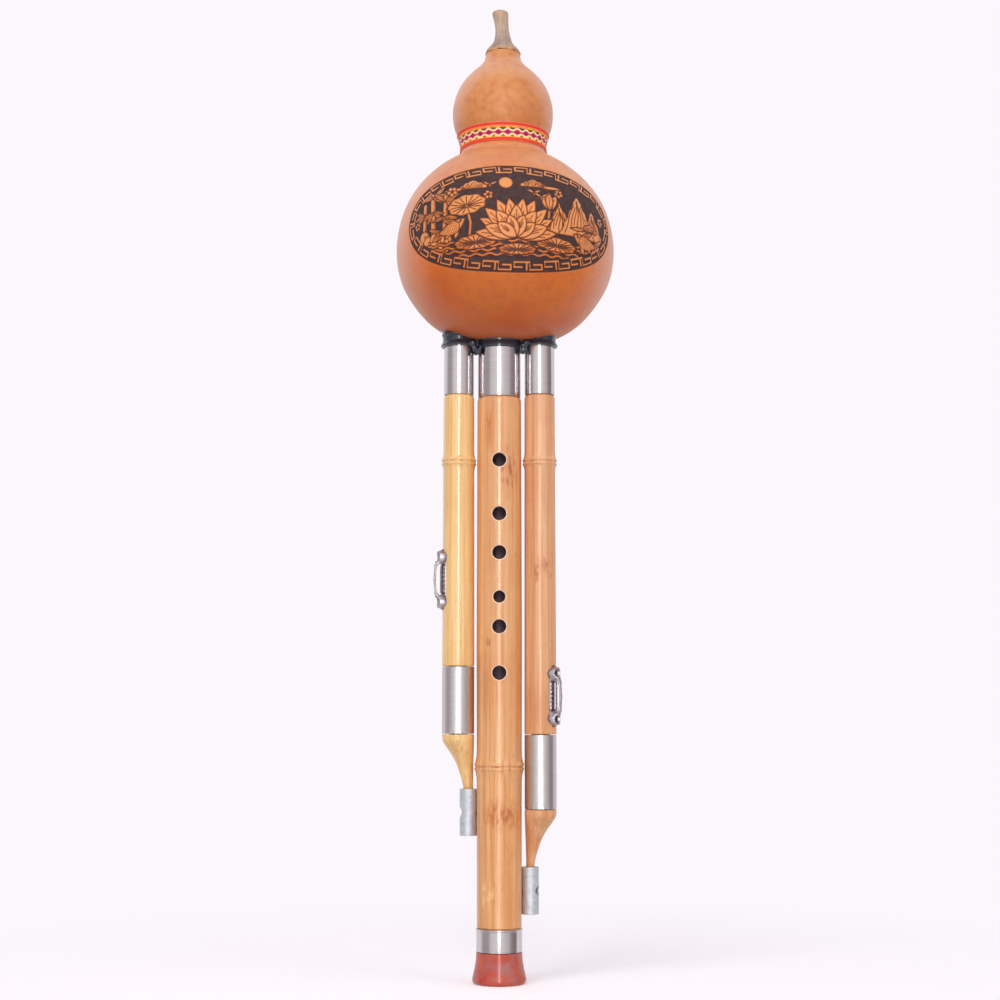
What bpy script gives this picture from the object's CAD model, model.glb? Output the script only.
import math

import bmesh
import bpy
import numpy as np
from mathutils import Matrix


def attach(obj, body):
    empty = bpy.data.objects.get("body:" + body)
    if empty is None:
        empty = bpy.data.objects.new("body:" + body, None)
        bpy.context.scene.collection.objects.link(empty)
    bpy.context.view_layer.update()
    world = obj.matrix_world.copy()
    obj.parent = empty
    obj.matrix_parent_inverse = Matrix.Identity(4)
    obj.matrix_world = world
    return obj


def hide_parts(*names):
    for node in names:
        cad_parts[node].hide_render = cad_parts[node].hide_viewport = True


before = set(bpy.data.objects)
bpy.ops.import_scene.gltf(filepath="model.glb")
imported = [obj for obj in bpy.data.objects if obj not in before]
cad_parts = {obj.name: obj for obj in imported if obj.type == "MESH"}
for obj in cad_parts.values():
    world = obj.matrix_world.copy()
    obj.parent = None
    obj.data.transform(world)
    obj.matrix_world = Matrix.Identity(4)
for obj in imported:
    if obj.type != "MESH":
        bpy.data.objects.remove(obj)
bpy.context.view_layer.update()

# Lengths are millimetres in the part's frame: +Z up, finger holes to -Y. Colours are as seen, 0 to 255.
MM = 0.001
TURN = 2 * math.pi

# The three pipes
MELODY_X = -2.9
DRONES = {
    "left": {
        "x": -22.6, "side": -1, "r": 7.75, "node_r": 8.4, "bottom": 148.59, "sleeve": (116.49, 148.29),
        "tip_top": 116.19, "tip_length": 25.8, "peg_r": 2.35, "bracket_z": 190.19, "bracket_turn": 73,
        "bamboo": "pale bamboo"},
    "right": {
        "x": 16.8, "side": 1, "r": 7.65, "node_r": 8.2, "bottom": 116.21, "sleeve": (81.01, 115.91),
        "tip_top": 80.71, "tip_length": 27.0, "peg_r": 1.9, "bracket_z": 134.31, "bracket_turn": 54,
        "bamboo": "pink bamboo"},
}
DRONE_TOP = 280.2
DRONE_NODE_Z = 247.5
DRONE_TAPER = [(0, 1), (0.5, 0.985), (1, 0.968)]
DRONE_BORE_R = 4.6
MELODY_BOTTOM = 25.8
MELODY_TOP = 278.8
MELODY_BORE_R = 7.3
MELODY_NODE_Z = 100.94
FERRULE_TOP = 318.0
MELODY_FERRULE_R = 10.45
DRONE_FERRULE_R = 7.3
WALL = 0.5
SEAT_GAP = 0.3
MELODY_TENON_TOP = 299.8
DRONE_TENON_TOP = 299.2
FOOT_HEIGHT = 14.6
FOOT_FERRULE_BOTTOM = 14.9
VALVE_PORT_R = 2.5
REED_PLATE_LENGTH = 26.0
FINGER_HOLES = [(247.43, 3.35), (221.37, 3.35), (202.65, 3.35), (181.4, 2.91), (167.23, 3.35), (145.22, 3.35)]
BACK_HOLES = [(259.83, 3.35), (85.26, 3.6)]
CLIP_R = 4.1
CLIP_BORE_R = 3.0
CLIP_LENGTH = 22.1
CLIPS = {
    "left": {"reach": 15.135, "turn": math.radians(168), "top": 90.39, "hole": math.radians(178), "hole_r": 2.8},
    "right": {"reach": 15.03, "turn": math.radians(12), "top": 53.71, "hole": math.radians(-18), "hole_r": 2.35},
}

# The black block under the gourd
BLOCK_LIP = 302.5
MELODY_COLLAR_LIP = 303.1
DRONE_COLLAR_LIP = 304.3
GOURD_BOTTOM = 307.2
BLOCK_TOP = 320.2
MELODY_RING_Z = 310.25
DRONE_RING_Z = 313.66

# The gourd
BULB_Z = 352.5
BULB_R = 53.5
NECK_Z = 405.1
NECK_R = 21.8
UPPER_Z = 422.7
LEAN = -1.1
RIND_THICKNESS = 3
BOWL_R = 36.0
RIND_OUTLINE = [
    (0.0, 307.2), (16.0, 307.5), (27.55, 310.88), (35.69, 315.82), (40.92, 320.75), (45.77, 327.02), (50.45, 335.35),
    (53.02, 345.03), (53.45, 355.0), (51.86, 364.97), (48.93, 373.28), (44.6, 380.94), (39.55, 387.13), (33.69, 392.52),
    (28.19, 396.4), (23.59, 399.16), (21.3, 402.0), (20.95, 405.2), (21.45, 408.5), (22.45, 411.6), (23.98, 415.01),
    (24.85, 420.0), (24.77, 425.49), (23.52, 430.91), (21.31, 436.09), (18.29, 440.33), (14.87, 443.86),
    (11.73, 446.83), (9.66, 449.38), (8.85, 451.79), (8.6, 453.6)]
STEM_BOTTOM = 453.9
STEM_LENGTH = 22.5
STEM_LEAN = -1.45
RIBBON_HEIGHTS = [402.7, 411.6]
RIBBON_REPEAT = 4.8

# The engraved panel: an oval on the front, measured along the rind
PANEL_TURN = math.radians(4.5)
PANEL_RISE = 4.7
PANEL_HALF_LENGTH = 60.0
PANEL_HALF_HEIGHT = 28.1
BORDER_WIDTH = 5.8
KEY_HEIGHT = 3.7
KEY_CELL = 7.6
ENGRAVING_DEPTH = 0.32


def set_camera():
    data = bpy.data.cameras.new("camera")
    data.lens, data.sensor_width = 64.8, 36.0
    camera = bpy.data.objects.new("camera", data)
    camera.location = (-0.00255, -0.868, 0.1225)
    camera.rotation_euler = (math.radians(97), 0, 0)
    bpy.context.collection.objects.link(camera)
    bpy.context.scene.camera = camera


set_camera()


# ---- shader nodes

def tone(red, green, blue):
    """A colour as seen, as the linear RGBA that a shader wants."""
    return tuple(((c / 255 + 0.055) / 1.055) ** 2.4 if c > 10 else c / 255 / 12.92 for c in (red, green, blue)) + (1.0,)


class Wiring:
    """The nodes of one shader tree. A value is a socket to link from or a constant."""

    def __init__(self, tree):
        self.tree = tree

    def plug(self, sockets, values):
        for name, value in dict(values).items():
            socket = sockets[name.replace("_", " ") if isinstance(name, str) else name]
            if isinstance(value, bpy.types.NodeSocket):
                self.tree.links.new(value, socket)
            else:
                socket.default_value = tone(*value) if socket.type == "RGBA" else value

    def node(self, kind, inputs=(), **settings):
        node = self.tree.nodes.new(kind)
        for name, value in settings.items():
            setattr(node, name, value)
        self.plug(node.inputs, inputs)
        return node

    def calc(self, operation, *values, clamp=False):
        return self.node("ShaderNodeMath", enumerate(values), operation=operation, use_clamp=clamp).outputs[0]

    def vector(self, operation, *values):
        outputs = self.node("ShaderNodeVectorMath", enumerate(values), operation=operation).outputs
        return outputs["Value" if operation == "LENGTH" else "Vector"]

    def parts(self, vector):
        return self.node("ShaderNodeSeparateXYZ", {"Vector": vector}).outputs

    def spread(self, value, low, high, to_low=0.0, to_high=1.0, kind="LINEAR"):
        return self.node("ShaderNodeMapRange", {
            "Value": value, "From Min": low, "From Max": high, "To Min": to_low, "To Max": to_high},
            interpolation_type=kind).outputs[0]

    def mix(self, mask, first, second, kind="MIX"):
        return self.node("ShaderNodeMix", {0: mask, 6: first, 7: second}, data_type="RGBA", blend_type=kind).outputs[2]

    def tint(self, base, colour, value, low, high, most=1.0):
        """The base turning to the colour as the value goes from low to high."""
        return self.mix(self.spread(value, low, high, 0.0, most), base, colour)

    def mix_shaders(self, mask, first, second):
        return self.node("ShaderNodeMixShader", enumerate((mask, first, second))).outputs[0]

    def ramp(self, value, *stops):
        node = self.node("ShaderNodeValToRGB", {"Fac": value})
        points = node.color_ramp.elements
        while len(points) < len(stops):
            points.new(0.5)
        for point, (position, *colour) in zip(points, stops):
            point.position = position
            point.color = tone(*colour)
        return node.outputs["Color"]

    def noise(self, where, size, detail, seed=None, **inputs):
        inputs.update(Vector=where, Scale=size, Detail=detail)
        if seed is None:
            return self.node("ShaderNodeTexNoise", inputs).outputs[0]
        return self.node("ShaderNodeTexNoise", {"W": seed, **inputs}, noise_dimensions="4D").outputs[0]

    def give(self, **results):
        """Ends a node group with its outputs."""
        for name in results:
            self.tree.interface.new_socket(name, in_out="OUTPUT", socket_type="NodeSocketFloat")
        self.plug(self.tree.nodes.new("NodeGroupOutput").inputs, results)
        return self.tree


def effect(name, **inputs):
    """A new shader node group and its input sockets. An input that is None is a vector."""
    tree = bpy.data.node_groups.new(name, "ShaderNodeTree")
    for key, usual in inputs.items():
        kind = "NodeSocketVector" if usual is None else "NodeSocketFloat"
        socket = tree.interface.new_socket(key.replace("_", " "), in_out="INPUT", socket_type=kind)
        if usual is not None:
            socket.default_value = usual
    given = tree.nodes.new("NodeGroupInput").outputs
    return (Wiring(tree), *(given[key.replace("_", " ")] for key in inputs))


def make_mottle():
    """Soft cloudy patches with finer grain in them, 0 to 1."""
    group, place, size, contrast, seed = effect("mottle", Place=None, Size=100.0, Contrast=1.0, Seed=0.0)
    broad = group.calc("SUBTRACT", group.noise(place, size, 5.0, seed, Roughness=0.55), 0.5)
    fine = group.noise(place, group.calc("MULTIPLY", size, 9.0), 3.0, seed)
    return group.give(Mask=group.calc("MULTIPLY_ADD", broad, contrast, 0.5, clamp=True), Fine=fine)


def make_streaks():
    """Long thin streaks along Z, as in bamboo fibre or drawn metal."""
    group, place, across, along, seed = effect(
        "streaks along the tube", Place=None, Across=900.0, Along=14.0, Seed=0.0)
    scale = group.node("ShaderNodeCombineXYZ", {"X": across, "Y": across, "Z": along}).outputs[0]
    fine_place = group.vector("MULTIPLY", place, scale)
    broad_place = group.vector("MULTIPLY", fine_place, (0.22, 0.22, 0.35))
    return group.give(Fine=group.noise(fine_place, 1.0, 4.0, seed, Roughness=0.6),
                      Broad=group.noise(broad_place, 1.0, 3.0, seed))


def make_scuff():
    """A patch of short dashes round a centre, fading out at its reach."""
    group, place, centre, reach, dash_size, seed = effect(
        "scuffed patch", Place=None, Centre=None, Reach=None, Dash_Size=700.0, Seed=0.0)
    away = group.vector("DIVIDE", group.vector("SUBTRACT", place, centre), reach)
    near = group.spread(group.vector("LENGTH", away), 1.0, 0.25)
    dashes = group.noise(group.vector("MULTIPLY", place, (1.0, 1.0, 0.3)), dash_size, 2.0, seed)
    return group.give(Mask=group.calc("MULTIPLY", near, group.spread(dashes, 0.48, 0.62)),
                      Stain=group.calc("MULTIPLY", near, group.spread(dashes, 0.3, 0.6)))


def make_handling():
    """Roughness that varies a little, as on a surface handled and wiped."""
    group, place, roughness, change, size = effect(
        "handled surface", Place=None, Roughness=0.4, Change=0.1, Size=90.0)
    smears = group.calc("SUBTRACT", group.noise(place, size, 4.0, Distortion=0.6), 0.5)
    return group.give(Roughness=group.calc("MULTIPLY_ADD", smears, change, roughness, clamp=True))


def make_tarnish():
    """Grime that sits in hollows and corners, 1 where it is thick."""
    group, place, size, amount = effect("grime in hollows", Place=None, Size=900.0, Amount=1.0)
    hollow = group.spread(group.node("ShaderNodeNewGeometry").outputs["Pointiness"], 0.5, 0.44)
    patches = group.spread(group.noise(place, size, 3.0), 0.35, 0.65)
    grime = group.calc("MULTIPLY", hollow, group.calc("MULTIPLY_ADD", patches, 0.6, 0.4))
    return group.give(Mask=group.calc("MULTIPLY", grime, amount, clamp=True))


MOTTLE = make_mottle()
STREAKS = make_streaks()
SCUFF = make_scuff()
HANDLING = make_handling()
TARNISH = make_tarnish()


# ---- finishes

class Finish(Wiring):
    """A material whose surface is one Principled shader."""

    def __init__(self, name, **constants):
        material = bpy.data.materials.new(name)
        material.use_nodes = True
        super().__init__(material.node_tree)
        self.feed(**constants)
        self.place = self.node("ShaderNodeTexCoord").outputs["Object"]

    def feed(self, **values):
        self.plug(self.tree.nodes["Principled BSDF"].inputs, values)

    def lay(self, group, **inputs):
        """Puts a shared effect on the surface and gives its outputs."""
        return self.node("ShaderNodeGroup", {"Place": self.place, **inputs}, node_tree=group).outputs

    def mottled(self, size, contrast, seed):
        return self.lay(MOTTLE, Size=size, Contrast=contrast, Seed=seed)

    def streaked(self, across, along, seed):
        return self.lay(STREAKS, Across=across, Along=along, Seed=seed)

    def stretched_noise(self, scale, detail):
        return self.noise(self.vector("MULTIPLY", self.place, scale), 1.0, detail)

    def painted(self, name, output="Fac"):
        """A value that the mesh carries at each corner."""
        return self.node("ShaderNodeAttribute", attribute_name=name).outputs[output]

    def bump(self, height, distance, strength):
        inputs = {"Height": height, "Distance": distance * MM, "Strength": strength}
        self.feed(Normal=self.node("ShaderNodeBump", inputs).outputs[0])

    def handled(self, roughness, change):
        self.feed(Roughness=self.lay(HANDLING, Roughness=roughness, Change=change)[0])


def gourd_finish():
    """Rind that ripens from red-brown below to tan above, paler where it turns away, and charred where engraved."""
    look = Finish("gourd rind", Specular_IOR_Level=0.25, Coat_Weight=0.1, Coat_Roughness=0.35)
    patches, grain = look.mottled(38.0, 1.5, 2.0), look.mottled(260.0, 1.8, 5.0)
    ripeness = look.spread(look.parts(look.place)["Z"], 0.300, 0.440)
    rind = look.ramp(ripeness, (0.0, 200, 98, 45), (0.25, 221, 120, 50), (0.55, 220, 140, 78), (1.0, 216, 154, 102))
    ruddy = look.mix(1.0, rind, (244, 216, 200), "MULTIPLY")
    rind = look.tint(rind, ruddy, patches["Mask"], 0.35, 0.8)
    rind = look.tint(rind, (186, 98, 50), grain["Mask"], 0.42, 0.75, 0.4)
    turned_away = look.node("ShaderNodeLayerWeight", {"Blend": 0.5}).outputs["Facing"]
    normal = look.node("ShaderNodeNewGeometry").outputs["Normal"]
    steep = look.spread(look.calc("ABSOLUTE", look.parts(normal)["Z"]), 0.45, 0.85, 0.75, 0.1)
    rind = look.mix(look.calc("MULTIPLY", look.spread(turned_away, 0.3, 0.78), steep), rind, (230, 178, 158))
    burn = look.painted("burn")
    rind = look.mix(look.spread(burn, -0.3, 0.0, 0.75, 0.0), rind, (230, 158, 98))
    char = look.mix(look.mottled(420.0, 1.6, 8.0)["Mask"], (50, 34, 36), (84, 62, 58))
    toasted = look.tint(rind, (112, 58, 34), burn, 0.05, 0.45)
    charred = look.calc("MAXIMUM", burn, 0.0)
    wiped = look.lay(HANDLING, Roughness=0.42, Change=0.16, Size=70.0)[0]
    look.feed(Base_Color=look.tint(toasted, char, burn, 0.4, 0.85),
              Roughness=look.calc("MULTIPLY_ADD", charred, 0.34, wiped, clamp=True))
    pores = look.calc("MULTIPLY", grain["Fine"], look.calc("MULTIPLY_ADD", charred, 4.0, 0.5))
    look.bump(look.calc("ADD", pores, patches["Fine"]), 0.05, 0.5)


def bamboo_finish(name, light, middle, dark, deep, coat, seed, node_z, *scuffs):
    look = Finish(name, Specular_IOR_Level=0.45, Coat_Roughness=0.1)
    fibre, bands = look.streaked(950.0, 16.0, seed), look.streaked(330.0, 5.0, seed + 3.0)
    patches = look.mottled(24.0, 1.4, seed)
    flecks = look.stretched_noise((1500.0, 1500.0, 260.0), 2.0)
    culm = middle
    for colour, value, low, high, most in (
            (light, bands["Fine"], 0.36, 0.66, 1.0), (dark, fibre["Fine"], 0.5, 0.7, 0.75),
            (light, fibre["Fine"], 0.44, 0.3, 0.5), (dark, patches["Mask"], 0.45, 0.9, 0.6),
            (deep, flecks, 0.62, 0.74, 0.3)):
        culm = look.tint(culm, colour, value, low, high, most)
    rubs = {"worn": (dark, deep), "bleached": (light, (255, 214, 150)), "ruddy": ((212, 126, 62), (206, 112, 50))}
    for centre, reach, dash_size, kind in scuffs:
        patch = look.lay(SCUFF, Centre=[c * MM for c in centre], Reach=[r * MM for r in reach],
                         Dash_Size=dash_size, Seed=seed)
        rub, mark = rubs[kind]
        culm = look.mix(look.calc("MULTIPLY", patch["Stain"], 0.55), culm, rub)
        culm = look.mix(look.calc("MULTIPLY", patch["Mask"], 0.8), culm, mark)
    height = look.parts(look.place)["Z"]
    off_seam = look.calc("ABSOLUTE", look.calc("SUBTRACT", height, (node_z - 0.1) * MM))
    broken = look.spread(look.mottled(420.0, 2.5, seed)["Mask"], 0.3, 0.8)
    seam = look.calc("MULTIPLY", look.spread(off_seam, 0.6 * MM, 0.15 * MM, 0.0, 0.75), broken)
    look.feed(Base_Color=look.mix(seam, culm, deep), Coat_Weight=look.spread(height, 0.08, 0.23, 0.25 * coat, coat))
    look.handled(0.34, 0.12)
    look.bump(look.calc("MULTIPLY_ADD", fibre["Fine"], 0.5, bands["Broad"]), 0.05, 0.35)


def plain_finish(name, first, second, size, roughness, change, bump=0.02, **constants):
    look = Finish(name, **constants)
    patches = look.mottled(size, 1.6, 1.0)
    look.feed(Base_Color=look.mix(patches["Mask"], first, second))
    look.handled(roughness, change)
    look.bump(patches["Fine"], bump, 0.6)


def steel_finish(name, roughness, across, grain):
    look = Finish(name, Metallic=1.0)
    rings = look.stretched_noise((60.0, 60.0, 5200.0), 3.0)
    shade = look.mix(look.streaked(across, 8.0, 4.0)["Broad"], (206, 198, 199), (226, 219, 220))
    look.feed(Base_Color=look.tint(shade, (172, 163, 165), rings, 0.35, 0.75, 0.3),
              Roughness=look.calc("MULTIPLY_ADD", rings, grain, roughness))
    look.bump(rings, 0.006, 0.4)


def cast_finish(name, pale, bright, roughness, metallic):
    """Cast metal with small pits, dark where its relief is sunk."""
    look = Finish(name, Metallic=metallic)
    patches, pits = look.mottled(420.0, 2.2, 3.0), look.mottled(900.0, 2.0, 7.0)
    sunk = look.calc("MULTIPLY", look.painted("recess"), look.spread(patches["Fine"], 0.3, 0.6, 0.65, 1.0))
    grime = look.calc("MAXIMUM", look.lay(TARNISH, Size=800.0, Amount=0.9)[0], sunk)
    metal = look.mix(patches["Mask"], pale, bright)
    metal = look.tint(metal, (128, 124, 130), pits["Mask"], 0.66, 0.9, 0.55)
    look.feed(Base_Color=look.mix(grime, metal, (84, 62, 70)),
              Roughness=look.calc("MULTIPLY_ADD", patches["Fine"], 0.2, roughness, clamp=True))
    look.bump(look.calc("ADD", patches["Mask"], patches["Fine"]), 0.05, 0.6)


def agate_finish():
    look = Finish("red agate resin", Specular_IOR_Level=0.34, Coat_Weight=0.07, Coat_Roughness=0.06)
    clouds, veins = look.mottled(120.0, 2.6, 6.0), look.mottled(70.0, 3.0, 9.0)
    body = look.mix(clouds["Mask"], (182, 56, 48), (192, 98, 76))
    body = look.tint(body, (166, 112, 112), veins["Mask"], 0.55, 0.95, 0.8)
    look.feed(Base_Color=look.tint(body, (214, 96, 58), veins["Mask"], 0.3, 0.05, 0.8))
    look.handled(0.2, 0.08)
    look.bump(clouds["Fine"], 0.02, 0.3)


def stem_finish():
    look = Finish("dried gourd stem", Specular_IOR_Level=0.3)
    fibre, patches = look.streaked(700.0, 40.0, 3.0), look.mottled(130.0, 2.2, 4.0)
    rise = look.spread(look.parts(look.place)["Z"], 0.4539, 0.4764)
    bark = look.ramp(rise, (0.0, 206, 150, 106), (0.09, 176, 152, 136), (0.35, 178, 156, 142), (0.6, 196, 170, 148),
                     (0.9, 202, 170, 140), (1.0, 190, 158, 126))
    bark = look.tint(bark, (132, 112, 100), fibre["Fine"], 0.45, 0.75, 0.6)
    look.feed(Base_Color=look.tint(bark, (112, 96, 92), patches["Mask"], 0.55, 0.95, 0.6))
    look.handled(0.6, 0.15)
    look.bump(look.calc("ADD", fibre["Fine"], patches["Fine"]), 0.15, 0.8)


def ribbon_finish():
    look = Finish("woven ribbon", Specular_IOR_Level=0.25, Sheen_Weight=0.25, Sheen_Roughness=0.4)
    thread = look.painted("thread", "Color")
    fuzz = look.mottled(1500.0, 1.6, 2.0)
    worn = look.mix(1.0, thread, (240, 236, 236), "MULTIPLY")
    look.feed(Base_Color=look.mix(fuzz["Mask"], thread, worn))
    look.handled(0.7, 0.15)
    look.bump(fuzz["Fine"], 0.05, 0.6)


gourd_finish()
bamboo_finish("warm bamboo", (238, 182, 128), (220, 150, 92), (200, 118, 62), (180, 88, 38), 1.0, 11.0, MELODY_NODE_Z,
              ((1.5, -10.5, 241.0), (6.0, 7.0, 15.0), 620.0, "worn"),
              ((-1.0, -10.5, 79.0), (12.0, 8.0, 9.0), 560.0, "worn"),
              ((-8.5, -8.0, 41.5), (4.0, 6.0, 8.0), 620.0, "bleached"),
              ((-7.5, -8.5, 160.0), (2.5, 4.0, 3.0), 900.0, "worn"),
              ((-7.5, -8.0, 268.0), (3.0, 5.0, 20.0), 380.0, "ruddy"))
bamboo_finish("pale bamboo", (250, 208, 146), (237, 186, 116), (222, 160, 88), (196, 124, 66), 1.0, 23.0, DRONE_NODE_Z)
bamboo_finish("pink bamboo", (234, 180, 136), (215, 151, 99), (198, 120, 74), (186, 98, 70), 0.2, 37.0, DRONE_NODE_Z,
              ((20.5, -5.5, 197.0), (4.0, 5.0, 8.0), 520.0, "worn"),
              ((14.5, -7.0, 195.0), (3.0, 4.0, 9.0), 560.0, "worn"))
plain_finish("raw rind inside", (206, 172, 128), (180, 142, 98), 120.0, 0.7, 0.1, 0.1)
plain_finish("cut bamboo rim", (252, 224, 198), (240, 202, 166), 700.0, 0.45, 0.1)
plain_finish("dark lacquered bore", (138, 106, 118), (156, 120, 130), 300.0, 0.5, 0.1)
plain_finish("glossy black plastic", (32, 42, 56), (45, 55, 70), 160.0, 0.22, 0.14, 0.04,
             Coat_Weight=0.5, Coat_Roughness=0.06)
plain_finish("moulded reed tube", (34, 33, 34), (50, 48, 48), 600.0, 0.42, 0.12, 0.03)
plain_finish("rubber ring", (28, 28, 28), (42, 41, 41), 500.0, 0.75, 0.1, 0.03)
steel_finish("polished steel tube", 0.13, 420.0, 0.10)
steel_finish("brushed steel tube", 0.24, 520.0, 0.2)
cast_finish("cast white metal", (170, 161, 166), (222, 214, 218), 0.32, 1.0)
cast_finish("dull cast zinc", (190, 194, 202), (214, 218, 225), 0.46, 0.5)
cast_finish("darkened screw", (84, 70, 76), (150, 138, 144), 0.34, 1.0)
agate_finish()
stem_finish()
ribbon_finish()
plain_finish("bare brass", (196, 158, 92), (214, 180, 116), 260.0, 0.3, 0.15, 0.01, Metallic=1.0)


# ---- meshes

def mesh_object(name, points, faces, finishes, smooth_angle=32.0, face_finish=None):
    """An object from points in millimetres, with its finishes by name."""
    mesh = bpy.data.meshes.new(name)
    mesh.from_pydata(np.asarray(points, dtype=float) * MM, [], [list(map(int, face)) for face in faces])
    for finish in finishes:
        mesh.materials.append(bpy.data.materials[finish])
    if face_finish is not None:
        mesh.polygons.foreach_set("material_index", np.asarray(face_finish, dtype=np.int32))
    mesh.polygons.foreach_set("use_smooth", np.ones(len(mesh.polygons), dtype=bool))
    mesh.update()
    mesh.set_sharp_from_angle(angle=math.radians(smooth_angle))
    piece = bpy.data.objects.new(name, mesh)
    bpy.context.collection.objects.link(piece)
    return piece


def belongs(piece, body, node):
    """Puts a piece on its body and in its node's place, in the slot of its first finish."""
    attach(piece, body)
    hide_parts(node)


def carry(piece, name, values, kind="FLOAT", field="value"):
    """Gives each point of the piece a value that its finish uses."""
    layer = piece.data.attributes.new(name, kind, "POINT")
    layer.data.foreach_set(field, np.asarray(values, dtype=np.float32).reshape(-1))


def unit(values):
    return np.clip(values, 0, 1)


def hump(values, centre, width):
    return np.exp(-((values - centre) / width) ** 2)


def steps_round(sides):
    return [TURN * k / sides for k in range(sides)]


def turned(outline, sides, x=0.0):
    """Points and faces of a closed outline of (r, z) turned about Z, the solid on the outline's left."""
    points, rows = [], []
    for r, z in outline:
        start = len(points)
        if r < 1e-6:
            points.append((x, 0.0, z))
            rows.append([start] * sides)
        else:
            points.extend((x + r * math.cos(t), r * math.sin(t), z) for t in steps_round(sides))
            rows.append(list(range(start, start + sides)))
    faces = []
    for a, b in zip(rows, rows[1:] + rows[:1]):
        if a[0] == a[-1] and b[0] == b[-1]:
            continue
        for k in range(sides):
            n = (k + 1) % sides
            face = [a[k], a[n], b[n], b[k]]
            faces.append([p for j, p in enumerate(face) if p != face[j - 1]])
    return np.array(points), faces


def eased(outline, radius, steps=3):
    """The closed outline with each corner rounded by a small arc."""
    result = []
    for here, before, after in zip(outline, outline[-1:] + outline[:-1], outline[1:] + outline[:1]):
        here = np.array(here, dtype=float)
        back, ahead = before - here, after - here
        back_length, ahead_length = np.hypot(*back), np.hypot(*ahead)
        reach = min(radius, back_length * 0.45, ahead_length * 0.45)
        start, end = here + back / back_length * reach, here + ahead / ahead_length * reach
        for share in np.arange(steps + 1) / steps:
            result.append(tuple((1 - share) ** 2 * start + 2 * share * (1 - share) * here + share ** 2 * end))
    return result


def smooth_line(points, steps=8):
    """Points along a centripetal curve through the given ones."""
    points = np.asarray(points, dtype=float)
    padded = np.vstack([2 * points[0] - points[1], points, 2 * points[-1] - points[-2]])
    result = []
    for i in range(1, len(padded) - 2):
        p0, p1, p2, p3 = padded[i - 1:i + 3]
        t1, t2, t3 = np.cumsum([max(np.linalg.norm(b - a), 1e-6) ** 0.5 for a, b in ((p0, p1), (p1, p2), (p2, p3))])
        for k in range(steps):
            t = t1 + (t2 - t1) * k / steps

            def between(low, high, first, second):
                return (high - t) / (high - low) * first + (t - low) / (high - low) * second

            before, here, after = between(0, t1, p0, p1), between(t1, t2, p1, p2), between(t2, t3, p2, p3)
            result.append(between(t1, t2, between(0, t2, before, here), between(t1, t3, here, after)))
    result.append(points[-1])
    return np.array(result)


def carve(piece, *cutters):
    """Cuts the cutters out of the piece for good, and takes their finishes on the cut faces."""
    for cutter in cutters:
        step = piece.modifiers.new("cut", "BOOLEAN")
        step.operation = "DIFFERENCE"
        step.solver = "EXACT"
        step.material_mode = "TRANSFER"
        step.object = cutter
    shaped = piece.evaluated_get(bpy.context.evaluated_depsgraph_get())
    mesh, old = bpy.data.meshes.new_from_object(shaped), piece.data
    piece.modifiers.clear()
    piece.data = mesh
    bpy.data.meshes.remove(old)
    for cutter in cutters:
        spare = cutter.data
        bpy.data.objects.remove(cutter)
        bpy.data.meshes.remove(spare)
    mesh.set_sharp_from_angle(angle=math.radians(32))


def tube_faces(rings, sides, start=0, inward=False):
    """Faces of a closed tube whose points lie in rings from one end to the other."""
    last = start + (rings - 1) * sides
    faces = []
    for k in range(start, last, sides):
        for j in range(sides):
            a, b, c, d = k + j, k + (j + 1) % sides, k + sides + (j + 1) % sides, k + sides + j
            faces.append([a, d, c, b] if inward else [a, b, c, d])
    ends = [list(range(k, k + sides)) for k in (start, last)]
    ends[int(inward)].reverse()
    return faces + ends


def rod_cutter(r, start, end, finish, sides=40):
    """A closed rod between two points, for cutting a bore."""
    start, end = np.asarray(start, dtype=float), np.asarray(end, dtype=float)
    axis = (end - start) / np.linalg.norm(end - start)
    across = np.cross(axis, (0, 0, 1) if abs(axis[2]) < 0.9 else (1, 0, 0))
    across /= np.linalg.norm(across)
    other = np.cross(axis, across)
    points = [place + r * (math.cos(t) * across + math.sin(t) * other)
              for place in (start, end) for t in steps_round(sides)]
    return mesh_object("cutter", points, tube_faces(2, sides), [finish])


def hole_cutter(r, pipe_r, z, turn):
    """A hole drilled square to the melody pipe, its rim eased to follow the pipe's round surface."""
    ease, depth, sides = 0.42, 7.0, 56
    rings = [(r + ease + 0.5, -0.9), (r + ease + 0.12, -0.1)]
    rings += [(r + ease * (1 - math.sin(angle)), ease * (1 - math.cos(angle)))
              for angle in (math.pi / 2 * k / 5 for k in range(6))]
    rings += [(r, ease + 0.35), (r, depth)]
    points = []
    for reach, sunk in rings:
        for t in steps_round(sides):
            across = reach * math.cos(t)
            out = pipe_r if sunk == depth else math.sqrt(pipe_r ** 2 - min(abs(across), pipe_r * 0.98) ** 2)
            points.append((MELODY_X + across * math.cos(turn) + (out - sunk) * math.sin(turn),
                           across * math.sin(turn) - (out - sunk) * math.cos(turn), z + reach * math.sin(t)))
    kinds = [0] * sides * (len(rings) - 2) + [1] * sides + [0, 1]
    cutter = mesh_object("cutter", points, tube_faces(len(rings), sides), ["cut bamboo rim", "dark lacquered bore"],
                         face_finish=kinds)
    outward(cutter)
    return cutter


def outward(piece):
    work = bmesh.new()
    work.from_mesh(piece.data)
    bmesh.ops.recalc_face_normals(work, faces=work.faces)
    work.to_mesh(piece.data)
    work.free()


def made_of(work, name, finish, smooth_angle=32.0, stretch=1.0, centre=0.0):
    """An object from a finished bmesh in millimetres."""
    work.verts.index_update()
    points = np.array([tuple(corner.co) for corner in work.verts]) * stretch + centre
    faces = [[corner.index for corner in face.verts] for face in work.faces]
    work.free()
    return mesh_object(name, points, faces, [finish], smooth_angle)


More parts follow.
